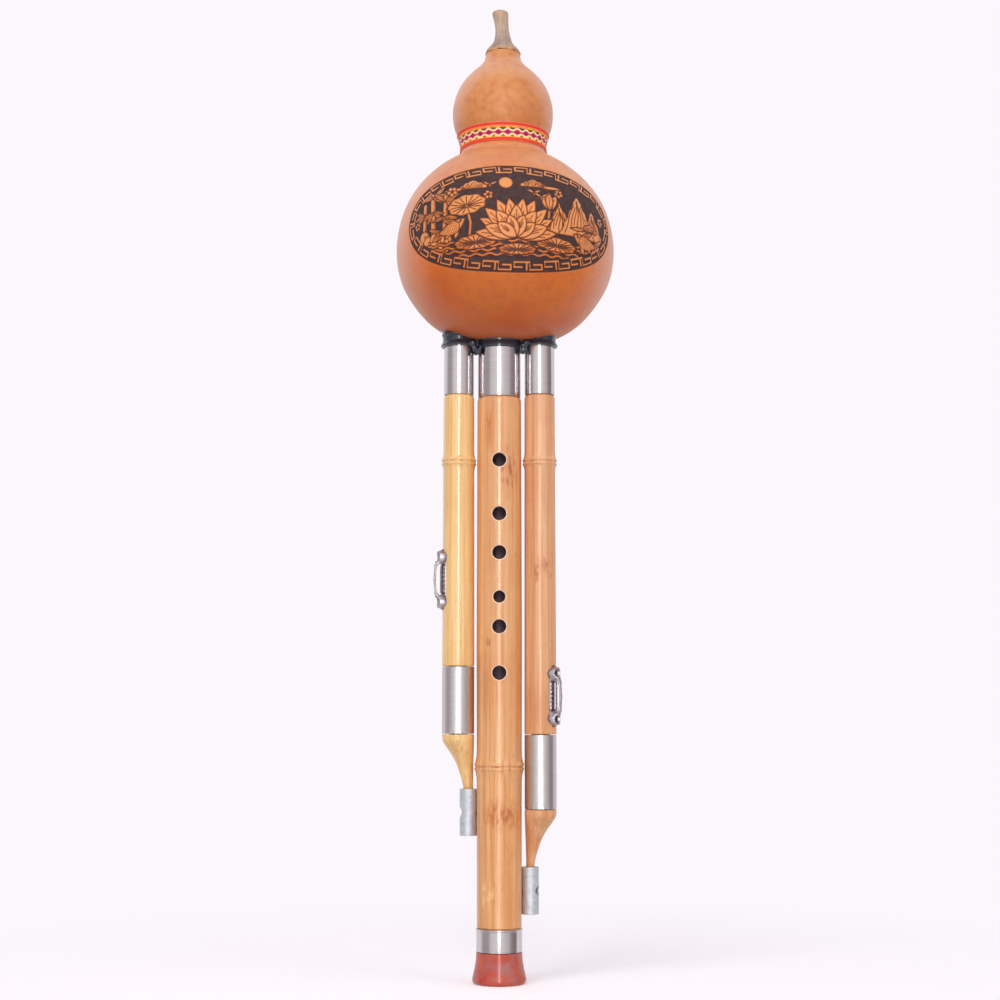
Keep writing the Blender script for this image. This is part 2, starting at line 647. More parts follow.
def rounded_box(name, low, high, finish, ease=0.15, segments=2):
    work = bmesh.new()
    bmesh.ops.create_cube(work, size=1.0)
    low, high = np.asarray(low, dtype=float), np.asarray(high, dtype=float)
    for corner in work.verts:
        corner.co = (low + high) / 2 + np.array(corner.co) * (high - low)
    bmesh.ops.bevel(work, geom=work.edges[:], offset=ease, segments=segments, affect="EDGES", profile=0.6)
    return made_of(work, name, finish, 40.0)


# ---- the picture on the gourd: u runs along the panel, v up it; a shape is below 0 inside its outline

FAR = 1e9


def nothing(u):
    """No figure yet, and no lines in it."""
    return np.full(u.shape, FAR), np.full(u.shape, FAR)


def polar(x, y, r, degrees):
    return x + r * math.cos(math.radians(degrees)), y + r * math.sin(math.radians(degrees))


def near_segments(u, v, corners):
    """Distance from each point to a run of straight lines."""
    best = np.full(u.shape, FAR)
    for (ax, ay), (bx, by) in zip(corners[:-1], corners[1:]):
        dx, dy = bx - ax, by - ay
        t = unit(((u - ax) * dx + (v - ay) * dy) / max(dx * dx + dy * dy, 1e-9))
        best = np.minimum(best, np.hypot(u - ax - t * dx, v - ay - t * dy))
    return best


def spun(u, v, x, y, degrees):
    c, s = math.cos(math.radians(degrees)), math.sin(math.radians(degrees))
    du, dv = u - x, v - y
    return du * c + dv * s, -du * s + dv * c


def leaf(u, v, x, y, degrees, length, width):
    """A pointed leaf from (x, y), growing along its angle."""
    a, b = spun(u, v, x, y, degrees)
    half, bulge = length / 2, width / 2
    r = (half * half + bulge * bulge) / (2 * bulge)
    return np.maximum(np.hypot(a - half, b - (r - bulge)), np.hypot(a - half, b + (r - bulge))) - r


def disc(u, v, x, y, r):
    return np.hypot(u - x, v - y) - r


def curl(x, y, r, turns, start, hand):
    """Corners of a spiral scroll."""
    steps = int(18 * turns)
    return [polar(x, y, r * (1 - 0.82 * k / steps), start + hand * 360 * turns * k / steps) for k in range(steps + 1)]


def stalk(u, v, corners, half_width):
    return near_segments(u, v, corners) - half_width


def ripple(u, v, reach, y, phase):
    """A line of small waves on the water."""
    count, rise, length = int(2 * reach / 0.9), 0.5, 6.6
    line = [(-reach + 2 * reach * k / count, y + rise * math.sin(TURN * 2 * reach * k / count / length + phase))
            for k in range(count + 1)]
    return stalk(u, v, line, 0.5)


def lotus(u, v, x, y, size):
    """A bloom of pointed petals in ranks, each with fine veins."""
    figure, lines = nothing(u)
    ranks = [([8, 28, 152, 172], 1.0, 0.28), ([44, 64, 116, 136], 1.04, 0.32), ([80, 100], 0.98, 0.32),
             ([20, 54, 90, 126, 160], 0.8, 0.32), ([38, 72, 108, 142], 0.56, 0.28)]
    for angles, length, width in ranks:
        for angle in angles:
            petal = leaf(u, v, x, y, angle, size * length, size * width)
            lines = np.minimum(np.where(petal < 0, FAR, lines), np.abs(petal + 0.02))
            for veer, tip in ((-5.5, 0.68), (0.0, 0.82), (5.5, 0.68)):
                vein = [polar(x, y, k * size * length, angle + veer) for k in (0.42, tip)]
                lines = np.minimum(lines, np.where(petal < 0, near_segments(u, v, vein) + 0.07, FAR))
            figure = np.minimum(figure, petal)
    return figure, lines


def blossom(u, v, x, y, r, start):
    """A small open flower with five round petals; its eye and gaps are engraved."""
    figure, lines = nothing(u)
    for angle in range(0, 360, 72):
        figure = np.minimum(figure, disc(u, v, *polar(x, y, 0.62 * r, start + angle), 0.42 * r))
        gap = [polar(x, y, k * r, start + angle + 36) for k in (0.25, 0.8)]
        lines = np.minimum(lines, near_segments(u, v, gap))
    return figure, np.minimum(lines, np.abs(disc(u, v, x, y, 0.24 * r)))


def culm(u, v, x, low, high, width, lean):
    """A standing bamboo stalk, parted at its nodes, with a shaded side."""
    figure, lines = nothing(u)
    z = low
    while z < high:
        ends = [(x + lean * (h - low), h) for h in (z + 0.5, min(z + 5.6, high) - 0.5)]
        figure = np.minimum(figure, near_segments(u, v, ends) - width / 2)
        lines = np.minimum(lines, near_segments(u, v, [(px + width * 0.2, h) for px, h in ends]) + 0.1)
        z += 5.6
    return figure, lines


def spray(u, v, x, y, angles, length):
    """Bamboo leaves that hang from one joint, each with its midrib."""
    figure, lines = nothing(u)
    for k, angle in enumerate(angles):
        reach = length * (1 - 0.08 * (k % 3))
        blade = leaf(u, v, x, y, angle, reach, reach * 0.24)
        rib = near_segments(u, v, [polar(x, y, share * reach, angle) for share in (0.15, 0.8)]) + 0.1
        lines = np.where(blade < 0, rib, np.minimum(np.minimum(lines, rib), np.abs(blade) + 0.02))
        figure = np.minimum(figure, blade)
    return figure, lines


def mountain(u, v, x, base, height, half, lean):
    """A peak with engraved ridges running down its flanks."""
    slope = height / half
    top_x = x + lean
    uneven = 0.3 * np.sin(v * 1.1 + x) + 0.14 * np.sin(v * 2.7)
    below_top = v - base - height
    flanks = np.maximum((top_x - u + uneven) * slope + below_top, (u - top_x + uneven) * slope + below_top)
    lines = np.full(u.shape, FAR)
    for k, share in enumerate((-0.72, -0.46, -0.24, -0.02, 0.2, 0.42, 0.66)):
        low, high = 0.06 + 0.1 * (k % 3), 0.9 - 0.1 * (k % 2) - 0.25 * abs(share)
        run = [(top_x + share * half * (1 - h) * 1.1 + 0.5 * math.sin(9 * h + k), base + height * h)
               for h in np.linspace(high, low, 6)]
        lines = np.minimum(lines, near_segments(u, v, run) + 0.03)
    return np.maximum(flanks / math.hypot(slope, 1.0), base - v), lines


def cloud(u, v, x, y, size, hand):
    """A scroll cloud with a trailing tail."""
    figure, lines = nothing(u)
    lobes = [(x + hand * dx * size, y + dy * size, r * size) for dx, dy, r in (
        (0, 0, 1.0), (-1.15, -0.25, 0.72), (1.1, -0.2, 0.78), (2.0, -0.45, 0.5), (-2.0, -0.45, 0.42))]
    for lobe in lobes:
        figure = np.minimum(figure, disc(u, v, *lobe))
    figure = np.maximum(figure, -(v - (y - 0.75 * size)))
    tail = leaf(u, v, x + hand * 1.6 * size, y - 0.7 * size, 0 if hand > 0 else 180, 4.2 * size, 0.7 * size)
    for lobe_x, lobe_y, r in lobes[:4]:
        lines = np.minimum(lines, near_segments(u, v, curl(lobe_x, lobe_y, r * 0.74, 1.5, 200, -hand)) + 0.05)
    return np.minimum(figure, tail), lines


def carp(u, v, x, y, size, hand, tilt):
    """A leaping carp: body, forked tail and fins, its scales and fin rays engraved."""
    p, q = spun(u, v, x, y, tilt)
    p = p * hand
    bend = q - 0.16 * size * (p / size) ** 2

    def blades(*shapes):
        return [leaf(p, bend, px * size, py * size, angle, length * size, width * size)
                for px, py, angle, length, width in shapes]

    body, = blades((-1, 0, 0, 2, 0.78))
    limbs = np.minimum.reduce(blades(
        (-0.8, 0.0, 150, 0.95, 0.34), (-0.8, 0.0, 206, 0.95, 0.34), (0.35, 0.26, 146, 0.95, 0.3),
        (0.3, -0.26, 226, 0.6, 0.26), (-0.35, -0.2, 214, 0.45, 0.2)))
    gill = np.abs(disc(p, bend, size * 0.16, 0.0, size * 0.36))
    pitch = size * 0.2
    row = np.floor(bend / (pitch * 0.5) + 0.5)
    along = p / pitch + 0.5 * np.mod(row, 2)
    cell = (along - np.floor(along) - 0.5) * pitch
    arc = np.abs(np.hypot(cell, bend - row * pitch * 0.5) - pitch * 0.44)
    scaled = (body < -0.22) & (p < size * 0.42) & (p > -size * 0.82) & (cell < 0)
    lines = np.minimum.reduce([
        np.abs(disc(p, bend, size * 0.68, size * 0.08, size * 0.06)),
        np.where((body < 0) & (p > size * 0.36), gill, FAR), np.where(scaled, arc + 0.04, FAR),
        np.where((body < 0.3) & (body > 0) & (limbs < 0), np.abs(body), FAR)])
    for root_x, root_y, reach, angles in ((-0.8, 0.0, 0.7, (140, 150, 160, 196, 206, 216)),
                                          (0.35, 0.26, 0.75, (138, 146, 154))):
        root = root_x * size, root_y * size
        for angle in angles:
            ray = near_segments(p, bend, [root, polar(*root, reach * size, angle)]) + 0.1
            lines = np.minimum(lines, np.where((body > 0) & (limbs < -0.05), ray, FAR))
    return np.minimum(body, limbs), lines


def lotus_leaf(u, v, x, y, a, b, tilt, veins):
    """A round lotus leaf seen from one side, its edge waved and its veins spread from the stalk."""
    p, q = spun(u, v, x, y, tilt)
    edge = 1 + 0.045 * np.sin(9 * np.arctan2(q / b, p / a))
    lines = np.abs(np.hypot(p / a, (q + b * 0.15) / b) - 0.14) * b + 0.04
    for k in range(veins):
        t = TURN * (k + 0.5) / veins
        c, s = a * math.cos(t), b * math.sin(t)
        lines = np.minimum(lines, near_segments(p, q, [(0.1 * c, -b * 0.15 + 0.1 * s), (0.84 * c, 0.84 * s)]))
    return (np.hypot(p / a, q / b) - edge) * min(a, b), lines


def rock(u, v, lumps):
    """A weathered garden rock: rounded lumps with hollows and hatched shade."""
    figure, lines = nothing(u)
    for x, y, r in lumps:
        lump = disc(u, v, x, y, r)
        scroll = near_segments(u, v, curl(x + 0.1 * r, y, r * 0.62, 0.8, 250, 1)) + 0.04
        lines = np.minimum(np.where(lump < 0, FAR, lines), np.where(figure < 0, np.abs(lump), FAR))
        lines = np.minimum(lines, scroll)
        figure = np.minimum(figure, lump)
    return figure, lines


def bud(u, v, angle, reach):
    """A closed lotus petal with its midrib."""
    rib = [(17.4, 3.6), polar(17.4, 2.6, 0.75 * reach, angle)]
    return leaf(u, v, 17.4, 2.6, angle, reach, 3.6), near_segments(u, v, rib) + 0.08


def bird(u, v, x, y):
    blades = ((x, y, 28, 3.8, 1.1), (x, y, 150, 3.8, 1.1), (x - 0.2, y + 0.2, -80, 1.8, 0.8))
    return np.minimum.reduce([leaf(u, v, *blade) for blade in blades])


PICTURE = [
    (disc, (-3.5, 16.6, 3.3)), (cloud, (-19.0, 15.8, 2.7, -1)), (cloud, (9.5, 16.6, 2.5, 1)),
    (mountain, (43.5, -8.5, 14.5, 9.5, -0.6)), (mountain, (22.0, -8.5, 15.0, 8.5, 0.4)),
    (mountain, (32.5, -8.5, 21.5, 11.0, 0.6)), (cloud, (41.0, -3.2, 2.1, -1)),
    (culm, (-47.0, -8.0, 8.5, 2.3, 0.03)), (culm, (-41.0, -10.0, 13.0, 2.8, -0.02)),
    (culm, (-34.8, -10.0, 12.0, 2.3, 0.06)),
    (spray, (-47.0, 3.5, (196, 222, 168, -40), 7.5)), (spray, (-41.2, 11.5, (38, 8, -24, 152, 178), 9.0)),
    (spray, (-41.0, 3.8, (204, 232, -14, -42), 7.5)), (spray, (-34.0, 8.5, (24, -4, -34, 140), 8.5)),
    (spray, (-34.6, 0.5, (-12, -40, 196), 7.5)),
    (rock, (((-47.0, -8.0, 3.0), (-44.2, -11.4, 3.6), (-33.8, -11.2, 3.2), (-38.8, -10.2, 4.3), (-40.6, -14.2, 3.6),
             (-35.4, -15.0, 3.1)),)),
    (stalk, ([(-22.5, 3.0), (-20.8, -4.0), (-21.6, -14.0)], 0.6)), (lotus_leaf, (-22.8, 5.2, 9.6, 5.0, 10, 15)),
    (stalk, ([(17.4, 4.0), (16.2, -4.0), (17.0, -12.0)], 0.55)),
    (bud, (66, 8.5)), (bud, (116, 8.2)), (bud, (92, 9.4)),
    *((ripple, (45.5 - 6.0 * k, -13.0 - 2.1 * k, 1.7 * k)) for k in range(4)),
    (lotus_leaf, (-18.5, -13.2, 10.2, 3.3, 4, 17)), (lotus_leaf, (21.0, -13.8, 10.4, 3.2, -4, 17)),
    (lotus_leaf, (1.5, -17.0, 8.6, 2.5, 0, 15)), (lotus, (1.0, -11.5, 20.0)),
    (carp, (-30.0, -5.8, 7.4, 1, 24)), (carp, (37.5, -10.6, 7.6, -1, -14)),
    *((blossom, (x, y, r, 90 + 11 * x)) for x, y, r in (
        (-30.0, 13.2, 2.7), (-12.0, 9.8, 2.2), (50.0, 2.2, 2.2), (-52.0, -1.5, 2.0), (22.5, 12.0, 2.2))),
    (bird, (9.8, 11.2)), (bird, (-11.0, 15.4)), (bird, (13.4, 9.2))]


def panel_scene(u, v):
    """How far each point is outside the raised figures, and how far from their fine lines, each laid over the last."""
    figure, lines = nothing(u)
    for draw, facts in PICTURE:
        drawn = draw(u, v, *facts)
        part, cuts = drawn if isinstance(drawn, tuple) else (drawn, FAR)
        lines = np.minimum(np.where(part < 0.4, FAR, lines), np.where(part < 0, cuts, FAR))
        figure = np.where(part < 0, part, np.minimum(figure, part))
        figure = np.where((part > 0) & (part < 0.4), np.maximum(figure, 0.2 - np.abs(part - 0.2)), figure)
    return figure, lines


def key_line(along, across, cell, height):
    """Distance to the meander's line: squared spirals, every other one turned over, joined in pairs."""
    number = np.floor(along / cell)
    x = along - number * cell
    width = cell - 1.35
    odd = np.mod(number, 2) > 0.5
    spiral = [(0.0, 0.0), (0.0, height), (width, height), (width, 0.36 * height), (0.36 * width, 0.36 * height)]
    line = near_segments(np.where(odd, width - x, x), np.where(odd, height - across, across), spiral)
    return np.minimum(line, np.where(odd, near_segments(x, across, [(width, 0.0), (cell, 0.0)]), FAR))


def along_oval(u, v, a, b):
    """Distance round an oval to its point nearest to (u, v), its whole length, and how far outside (u, v) lies."""
    turn = np.arctan2(v / b, u / a)
    for _ in range(6):
        c, s = np.cos(turn), np.sin(turn)
        miss = (a * a - b * b) * c * s - u * a * s + v * b * c
        slope = (a * a - b * b) * (c * c - s * s) - u * a * c - v * b * s
        turn = turn - np.clip(miss / np.where(np.abs(slope) < 1.0, -1.0, slope), -0.2, 0.2)
    table = np.linspace(-math.pi - 0.5, math.pi + 0.5, 2401)
    lengths = np.concatenate([[0], np.cumsum(np.hypot(np.diff(a * np.cos(table)), np.diff(b * np.sin(table))))])
    start, end = np.interp([-math.pi, math.pi], table, lengths)
    out_u, out_v = np.cos(turn) / a, np.sin(turn) / b
    outside = ((u - a * np.cos(turn)) * out_u + (v - b * np.sin(turn)) * out_v) / np.hypot(out_u, out_v)
    return np.mod(np.interp(turn, table, lengths) - start, end - start), end - start, outside


def burn_at(u, v):
    """How burnt the rind is at points of the panel: 1 is charred, 0 plain and -0.3 scraped pale."""
    def away(inset):
        a, b = PANEL_HALF_LENGTH - inset, PANEL_HALF_HEIGHT - inset
        k = np.hypot(u / a, v / b)
        slope = np.hypot(u / a ** 2, v / b ** 2) / np.maximum(k, 1e-6)
        return (k - 1) / np.maximum(slope, 1e-6)

    rim = away(0)
    along, whole, outside = along_oval(u, v, PANEL_HALF_LENGTH - BORDER_WIDTH / 2, PANEL_HALF_HEIGHT - BORDER_WIDTH / 2)
    cells = 2 * round(whole / KEY_CELL / 2)
    key = key_line(along, outside + 1.25 + KEY_HEIGHT - BORDER_WIDTH / 2, whole / cells, KEY_HEIGHT)
    figure, lines = panel_scene(u, v)
    edge = unit(1 + figure / 0.8)
    ground = np.maximum(unit(figure / 0.34 + 0.45), unit((0.24 - lines) / 0.28 + 0.5) * 0.62)
    picture = np.maximum(ground, 0.3 * edge) - 0.3 * (1 - unit(ground / 0.2)) * (1 - edge)
    border = unit((key - 0.42) / 0.3 + 0.5) * 1.1 - 0.22
    rim_line = unit((0.45 - np.abs(rim + 0.4)) / 0.25 + 0.5) * 0.95 - 0.3 * (rim < -1.0)
    burn = np.maximum(np.where(away(BORDER_WIDTH) < 0, picture, border), rim_line)
    return burn * unit(-rim / 0.3 + 0.5)


# ---- gourd, stem and ribbon

GOURD_LINE = smooth_line(RIND_OUTLINE, 14)
GOURD_REACH = np.concatenate([[0.0], np.cumsum(np.hypot(*np.diff(GOURD_LINE, axis=0).T))])
WIDEST = int(np.argmax(GOURD_LINE[:, 0]))
PANEL_MIDDLE = float(np.interp(BULB_Z, GOURD_LINE[:, 1], GOURD_REACH)) + PANEL_RISE
PIPES = [(drone["x"], DRONE_FERRULE_R) for drone in DRONES.values()] + [(MELODY_X, MELODY_FERRULE_R)]


def lean_at(z):
    share = min(max((z - BULB_Z) / (UPPER_Z - BULB_Z), 0.0), 1.0)
    return LEAN * share * share * (3 - 2 * share)


def gourd_rows():
    """Distances along the rind's outline at which the gourd's rows lie, close together on the panel."""
    low, high = PANEL_MIDDLE - PANEL_HALF_HEIGHT - 1.5, PANEL_MIDDLE + PANEL_HALF_HEIGHT + 1.5
    end = GOURD_REACH[-1]
    return np.concatenate([
        np.linspace(0.0, low, 50, endpoint=False), np.linspace(low, high, 196, endpoint=False),
        np.linspace(high, end - 5.0, 90, endpoint=False), np.linspace(end - 5.0, end, 10)])


def gourd_turns():
    """Directions of the gourd's columns, from -Y round towards +X, close together on the panel."""
    half = (PANEL_HALF_LENGTH + 8.0) / BULB_R
    fine = np.linspace(PANEL_TURN - half, PANEL_TURN + half, 470, endpoint=False)
    return np.concatenate([fine, np.linspace(PANEL_TURN + half, PANEL_TURN - half + TURN, 130, endpoint=False)])


def on_rind(rows, push, turns):
    """A grid of points at the rows along the rind and the directions, moved out of the rind by push."""
    r, z = (np.interp(rows, GOURD_REACH, line) for line in GOURD_LINE.T)
    slope_r, slope_z = np.gradient(r, rows), np.gradient(z, rows)
    length = np.hypot(slope_r, slope_z)
    r = r[:, None] + (slope_z / length)[:, None] * push
    z = z[:, None] - (slope_r / length)[:, None] * push
    lean = np.array([lean_at(height) for height in z.mean(axis=-1)])[:, None]
    return np.stack([r * np.sin(turns) + lean, -r * np.cos(turns), z], axis=-1)


def grid_faces(rows, columns):
    index = np.arange(rows * columns).reshape(rows, columns)
    right = np.roll(index, -1, axis=1)
    return np.stack([index[:-1], right[:-1], right[1:], index[1:]], axis=-1).reshape(-1, 4)


def build_gourd():
    """The wall above is one grid with the panel in it; the bowl below is cut for the pipes and joined to it."""
    rows, turns = gourd_rows(), gourd_turns()
    columns = len(turns)
    split = int(np.searchsorted(rows, np.interp(BOWL_R, GOURD_LINE[:WIDEST, 0], GOURD_REACH[:WIDEST])))
    r, z = (np.interp(rows, GOURD_REACH, line)[:, None] for line in GOURD_LINE.T)
    turn, row_v = np.meshgrid(turns, rows - PANEL_MIDDLE)
    away = np.mod(turn - PANEL_TURN + math.pi, TURN) - math.pi
    u = away * r
    near = (np.abs(away) < 1.5) & (np.abs(row_v) < PANEL_HALF_HEIGHT + 2) & (np.abs(u) < PANEL_HALF_LENGTH + 2)
    burn = np.zeros(u.shape)
    burn[near] = burn_at(u[near], row_v[near])
    uneven = 0.2 * np.sin(3 * turn + 0.9) * np.sin(z / 21.0) + 0.1 * np.sin(5 * turn + 2.1)
    push = uneven * unit((r - BOWL_R) / 10.0) * unit((53.3 - r) / 4.0) - ENGRAVING_DEPTH * unit(burn)
    outer = on_rind(rows, push, turns)

    inner_rows = np.concatenate([rows[3:split:3], rows[split:len(rows) - 8:6]])
    inner = on_rind(inner_rows, np.full((len(inner_rows), columns), -RIND_THICKNESS), turns)
    inner_z = inner[:, 0, 2]
    inner_r = np.hypot(inner[:, 0, 0] - [lean_at(height) for height in inner_z], inner[:, 0, 1])
    inner = inner[(inner_r > 5.4) | (inner_z < NECK_Z)]
    inner_split = len(range(3, split, 3))

    skins = ["gourd rind", "raw rind inside", "dark lacquered bore"]
    wall = np.concatenate([outer[split:], inner[inner_split:][::-1]])
    kinds = np.repeat(np.arange(len(wall) - 1) >= len(outer) - split, columns).astype(int)
    shell = mesh_object(
        "gourd_with_panel", wall.reshape(-1, 3), grid_faces(len(wall), columns), skins[:2], face_finish=kinds)
    carry(shell, "burn", np.concatenate([burn[split:], np.zeros((len(inner) - inner_split, columns))]))

    loop = np.concatenate([outer[1:split + 1], inner[:inner_split + 1][::-1]])
    points = np.concatenate([loop.reshape(-1, 3), [[0, 0, GOURD_BOTTOM], [0, 0, inner[0, 0, 2]]]])
    low, high, last = len(points) - 2, len(points) - 1, (len(loop) - 1) * columns
    caps = [[low, (k + 1) % columns, k] for k in range(columns)]
    caps += [[high, last + k, last + (k + 1) % columns] for k in range(columns)]
    kinds = np.repeat(np.arange(len(loop) - 1) >= split, columns).astype(int)
    kinds[(split - 1) * columns:split * columns] = 2
    kinds = np.concatenate([kinds, np.zeros(columns, int), np.ones(columns, int)])
    bowl = mesh_object("bowl", points, grid_faces(len(loop), columns).tolist() + caps, skins, face_finish=kinds)
    outward(bowl)
    low_z, high_z = 300, 325
    cutters = [rod_cutter(r + 0.5, (x, 0, low_z), (x, 0, high_z), skins[1]) for x, r in PIPES]
    ends = [(DRONES["left"]["x"], -4.3, low_z), (DRONES["right"]["x"], 4.3, high_z)]
    carve(bowl, *cutters, rounded_box("cutter", *ends, skins[1], 0.01, 1))

    work = bmesh.new()
    work.from_mesh(bowl.data)
    bmesh.ops.delete(work, geom=[face for face in work.faces if face.material_index == 2], context="FACES")
    work.to_mesh(bowl.data)
    work.free()
    work = bmesh.new()
    work.from_mesh(shell.data)
    work.from_mesh(bowl.data)
    bmesh.ops.remove_doubles(work, verts=work.verts, dist=2e-6)
    bmesh.ops.recalc_face_normals(work, faces=work.faces)
    work.to_mesh(shell.data)
    work.free()
    bpy.data.objects.remove(bowl)
    shell.data.set_sharp_from_angle(angle=math.radians(50))
    belongs(shell, "wind_chest", "gourd_shell")


def build_stem():
    heights = [0, 0.06, 0.16, 0.26, 0.36, 0.47, 0.62, 0.8, 0.94, 1]
    shares = [1, 0.945, 0.725, 0.53, 0.448, 0.392, 0.37, 0.408, 0.445, 0.38]
    side = smooth_line([(8.9 * s, STEM_BOTTOM + STEM_LENGTH * h) for h, s in zip(heights, shares)], 6)
    top, under = STEM_BOTTOM + STEM_LENGTH, STEM_BOTTOM - 0.25
    outline = [(2.0, under), (8.55, under), (8.8, STEM_BOTTOM - 0.12), *side[:-3], (3.7, top - 1.5),
               (3.35, top - 0.85), (2.9, top - 0.35), (2.45, top), (2.1, top - 0.2), (2.0, top - 0.6)]
    points, faces = turned(outline, 72)
    share = unit((points[:, 2] - STEM_BOTTOM) / STEM_LENGTH)
    turn, r = np.arctan2(points[:, 1], points[:, 0]), np.hypot(points[:, 0], points[:, 1])
    ribs = 0.035 * np.sin(11 * turn + 5 * share) + 0.022 * np.sin(5 * turn + 1.3)
    ribs += 0.012 * np.sin(23 * turn + 9 * share)
    points[:, :2] *= (1 + ribs * unit(r - 2.4) * (0.4 + 0.6 * np.sin(np.pi * share)))[:, None]
    edge = unit(1 - share / 0.05) * unit(r - 7.5)
    points[:, 2] += edge * (0.35 * np.sin(7 * turn + 0.6) + 0.2 * np.sin(13 * turn))
    points[:, 0] += LEAN + STEM_LEAN * share ** 2
    belongs(mesh_object("stem", points, faces, ["dried gourd stem"], 60.0), "wind_chest", "stem_mouthpiece")


THREADS = {name: tone(*colour) for name, colour in {
    "red": (250, 54, 42), "rose": (255, 118, 100), "orange": (255, 148, 66), "gold": (255, 192, 74),
    "green": (100, 56, 14), "leaf": (140, 130, 34), "cream": (255, 234, 192), "magenta": (188, 4, 110),
    "scarlet": (226, 60, 76)}.items()}


def ribbon_thread(along, down):
    """The thread that shows at a place on the ribbon, down from 0 at its upper edge to 1."""
    off = abs((along / RIBBON_REPEAT) % 1.0 - 0.5) * 2
    pick = math.floor(along / 1.6)
    if down < 0.17:
        return "red" if 0.04 < down < 0.13 else "rose"
    if down < 0.28:
        return "gold" if math.sin(pick * 2.4) > 0.2 and down > 0.2 else "orange"
    upper, lower = 0.335 + 0.12 * off, 0.745 - 0.12 * off
    if abs(down - upper) < 0.042 or abs(down - lower) < 0.042:
        return "cream"
    if down < upper:
        return "green" if off > 0.4 else "orange"
    if down < lower:
        if abs(down - 0.54) < 0.15 * (1 - 1.15 * off) + 0.005:
            return "magenta"
        return "scarlet" if abs(down - 0.54) < 0.05 else "gold"
    if down < 0.85:
        return "leaf" if off > 0.72 and down < 0.775 else ("gold" if down < 0.8 else "orange")
    return "rose" if down > 0.965 else "red"


def build_ribbon():
    """The ribbon lies round the neck with its lower edge just under the waist."""
    columns, threads, fine = 720, 24, 3
    rows = np.linspace(*np.interp(RIBBON_HEIGHTS, GOURD_LINE[:, 1], GOURD_REACH), threads * fine + 1)
    turns = np.linspace(0, TURN, columns, endpoint=False)
    share = np.linspace(0, 1, len(rows))[:, None]
    from_edge = np.minimum(share, 1 - share)
    relief = np.abs(np.sin(math.pi * threads * share)) ** 0.7 * (0.75 + 0.25 * np.cos(turns * columns / 2))
    lift = 0.5 + 0.08 * relief + 0.1 * hump(from_edge, 0, 0.035) - 0.25 * (from_edge < 1e-6)
    points = np.concatenate([on_rind(rows, lift, turns), on_rind(rows, 0.12 + 0 * lift, turns)[::-fine]])
    faces = grid_faces(len(points) + 1, columns) % (len(points) * columns)
    piece = mesh_object("ribbon_round_neck", points.reshape(-1, 3), faces, ["woven ribbon"], 60.0)
    colours = np.ones((*points.shape[:2], 4), dtype=np.float32)
    repeats = round(TURN * NECK_R / RIBBON_REPEAT)
    for row in range(len(points)):
        band = min(row // fine, threads - 1) if row < len(rows) else threads - 1 - (row - len(rows)) % threads
        for column in range(columns):
            along = (column // 2 + 0.5) * 2 / columns * repeats * RIBBON_REPEAT
            colours[row, column] = THREADS[ribbon_thread(along, 1 - (band + 0.5) / threads)]
    carry(piece, "thread", colours, "FLOAT_COLOR", "color")
    belongs(piece, "wind_chest", "neck_ribbon")


# ---- black block

BLACK = "glossy black plastic"
MELODY_COLLAR = [(0.35, 0.0), (0.6, 0.25), (0.65, 0.8), (0.5, 1.6), (0.38, 2.7), (0.05, 3.3), (0.38, 3.9)]
DRONE_COLLAR = [(1.0, 0.0), (1.32, 0.25), (1.4, 0.75), (1.1, 1.35), (0.7, 2.0), (0.45, 2.9), (0.4, 4.2)]
DRIPS = [
    (-15.2, -5.2, 303.6, 1.0, 1.7, 2.2), (-14.0, -5.9, 302.2, 0.75, 1.2, 2.3), (-12.9, -7.2, 301.2, 0.7, 1.0, 1.7),
    (-12.2, -7.6, 303.0, 0.6, 1.0, 1.8), (-14.4, 4.0, 303.2, 1.5, 2.0, 1.9), (7.5, -6.3, 302.5, 0.7, 1.2, 2.3),
    (10.1, -5.4, 302.7, 0.7, 1.2, 2.2), (8.8, -5.4, 304.4, 1.8, 1.8, 1.3), (8.6, 4.2, 303.6, 1.4, 1.8, 1.7),
    (-15.9, -5.6, 305.6, 2.0, 2.1, 2.1), (10.3, -5.8, 305.8, 1.8, 2.1, 1.9), (-22.6, -1.0, 310.2, 8.6, 8.1, 2.6),
    (16.8, -0.8, 310.2, 8.5, 8.0, 2.5), (-2.9, 0.0, 308.2, 11.9, 11.8, 1.6)]


def blob(x, y, z, *reach):
    work = bmesh.new()
    bmesh.ops.create_uvsphere(work, u_segments=20, v_segments=12, radius=1.0)
    return made_of(work, "blob", BLACK, stretch=reach, centre=(x, y, z))


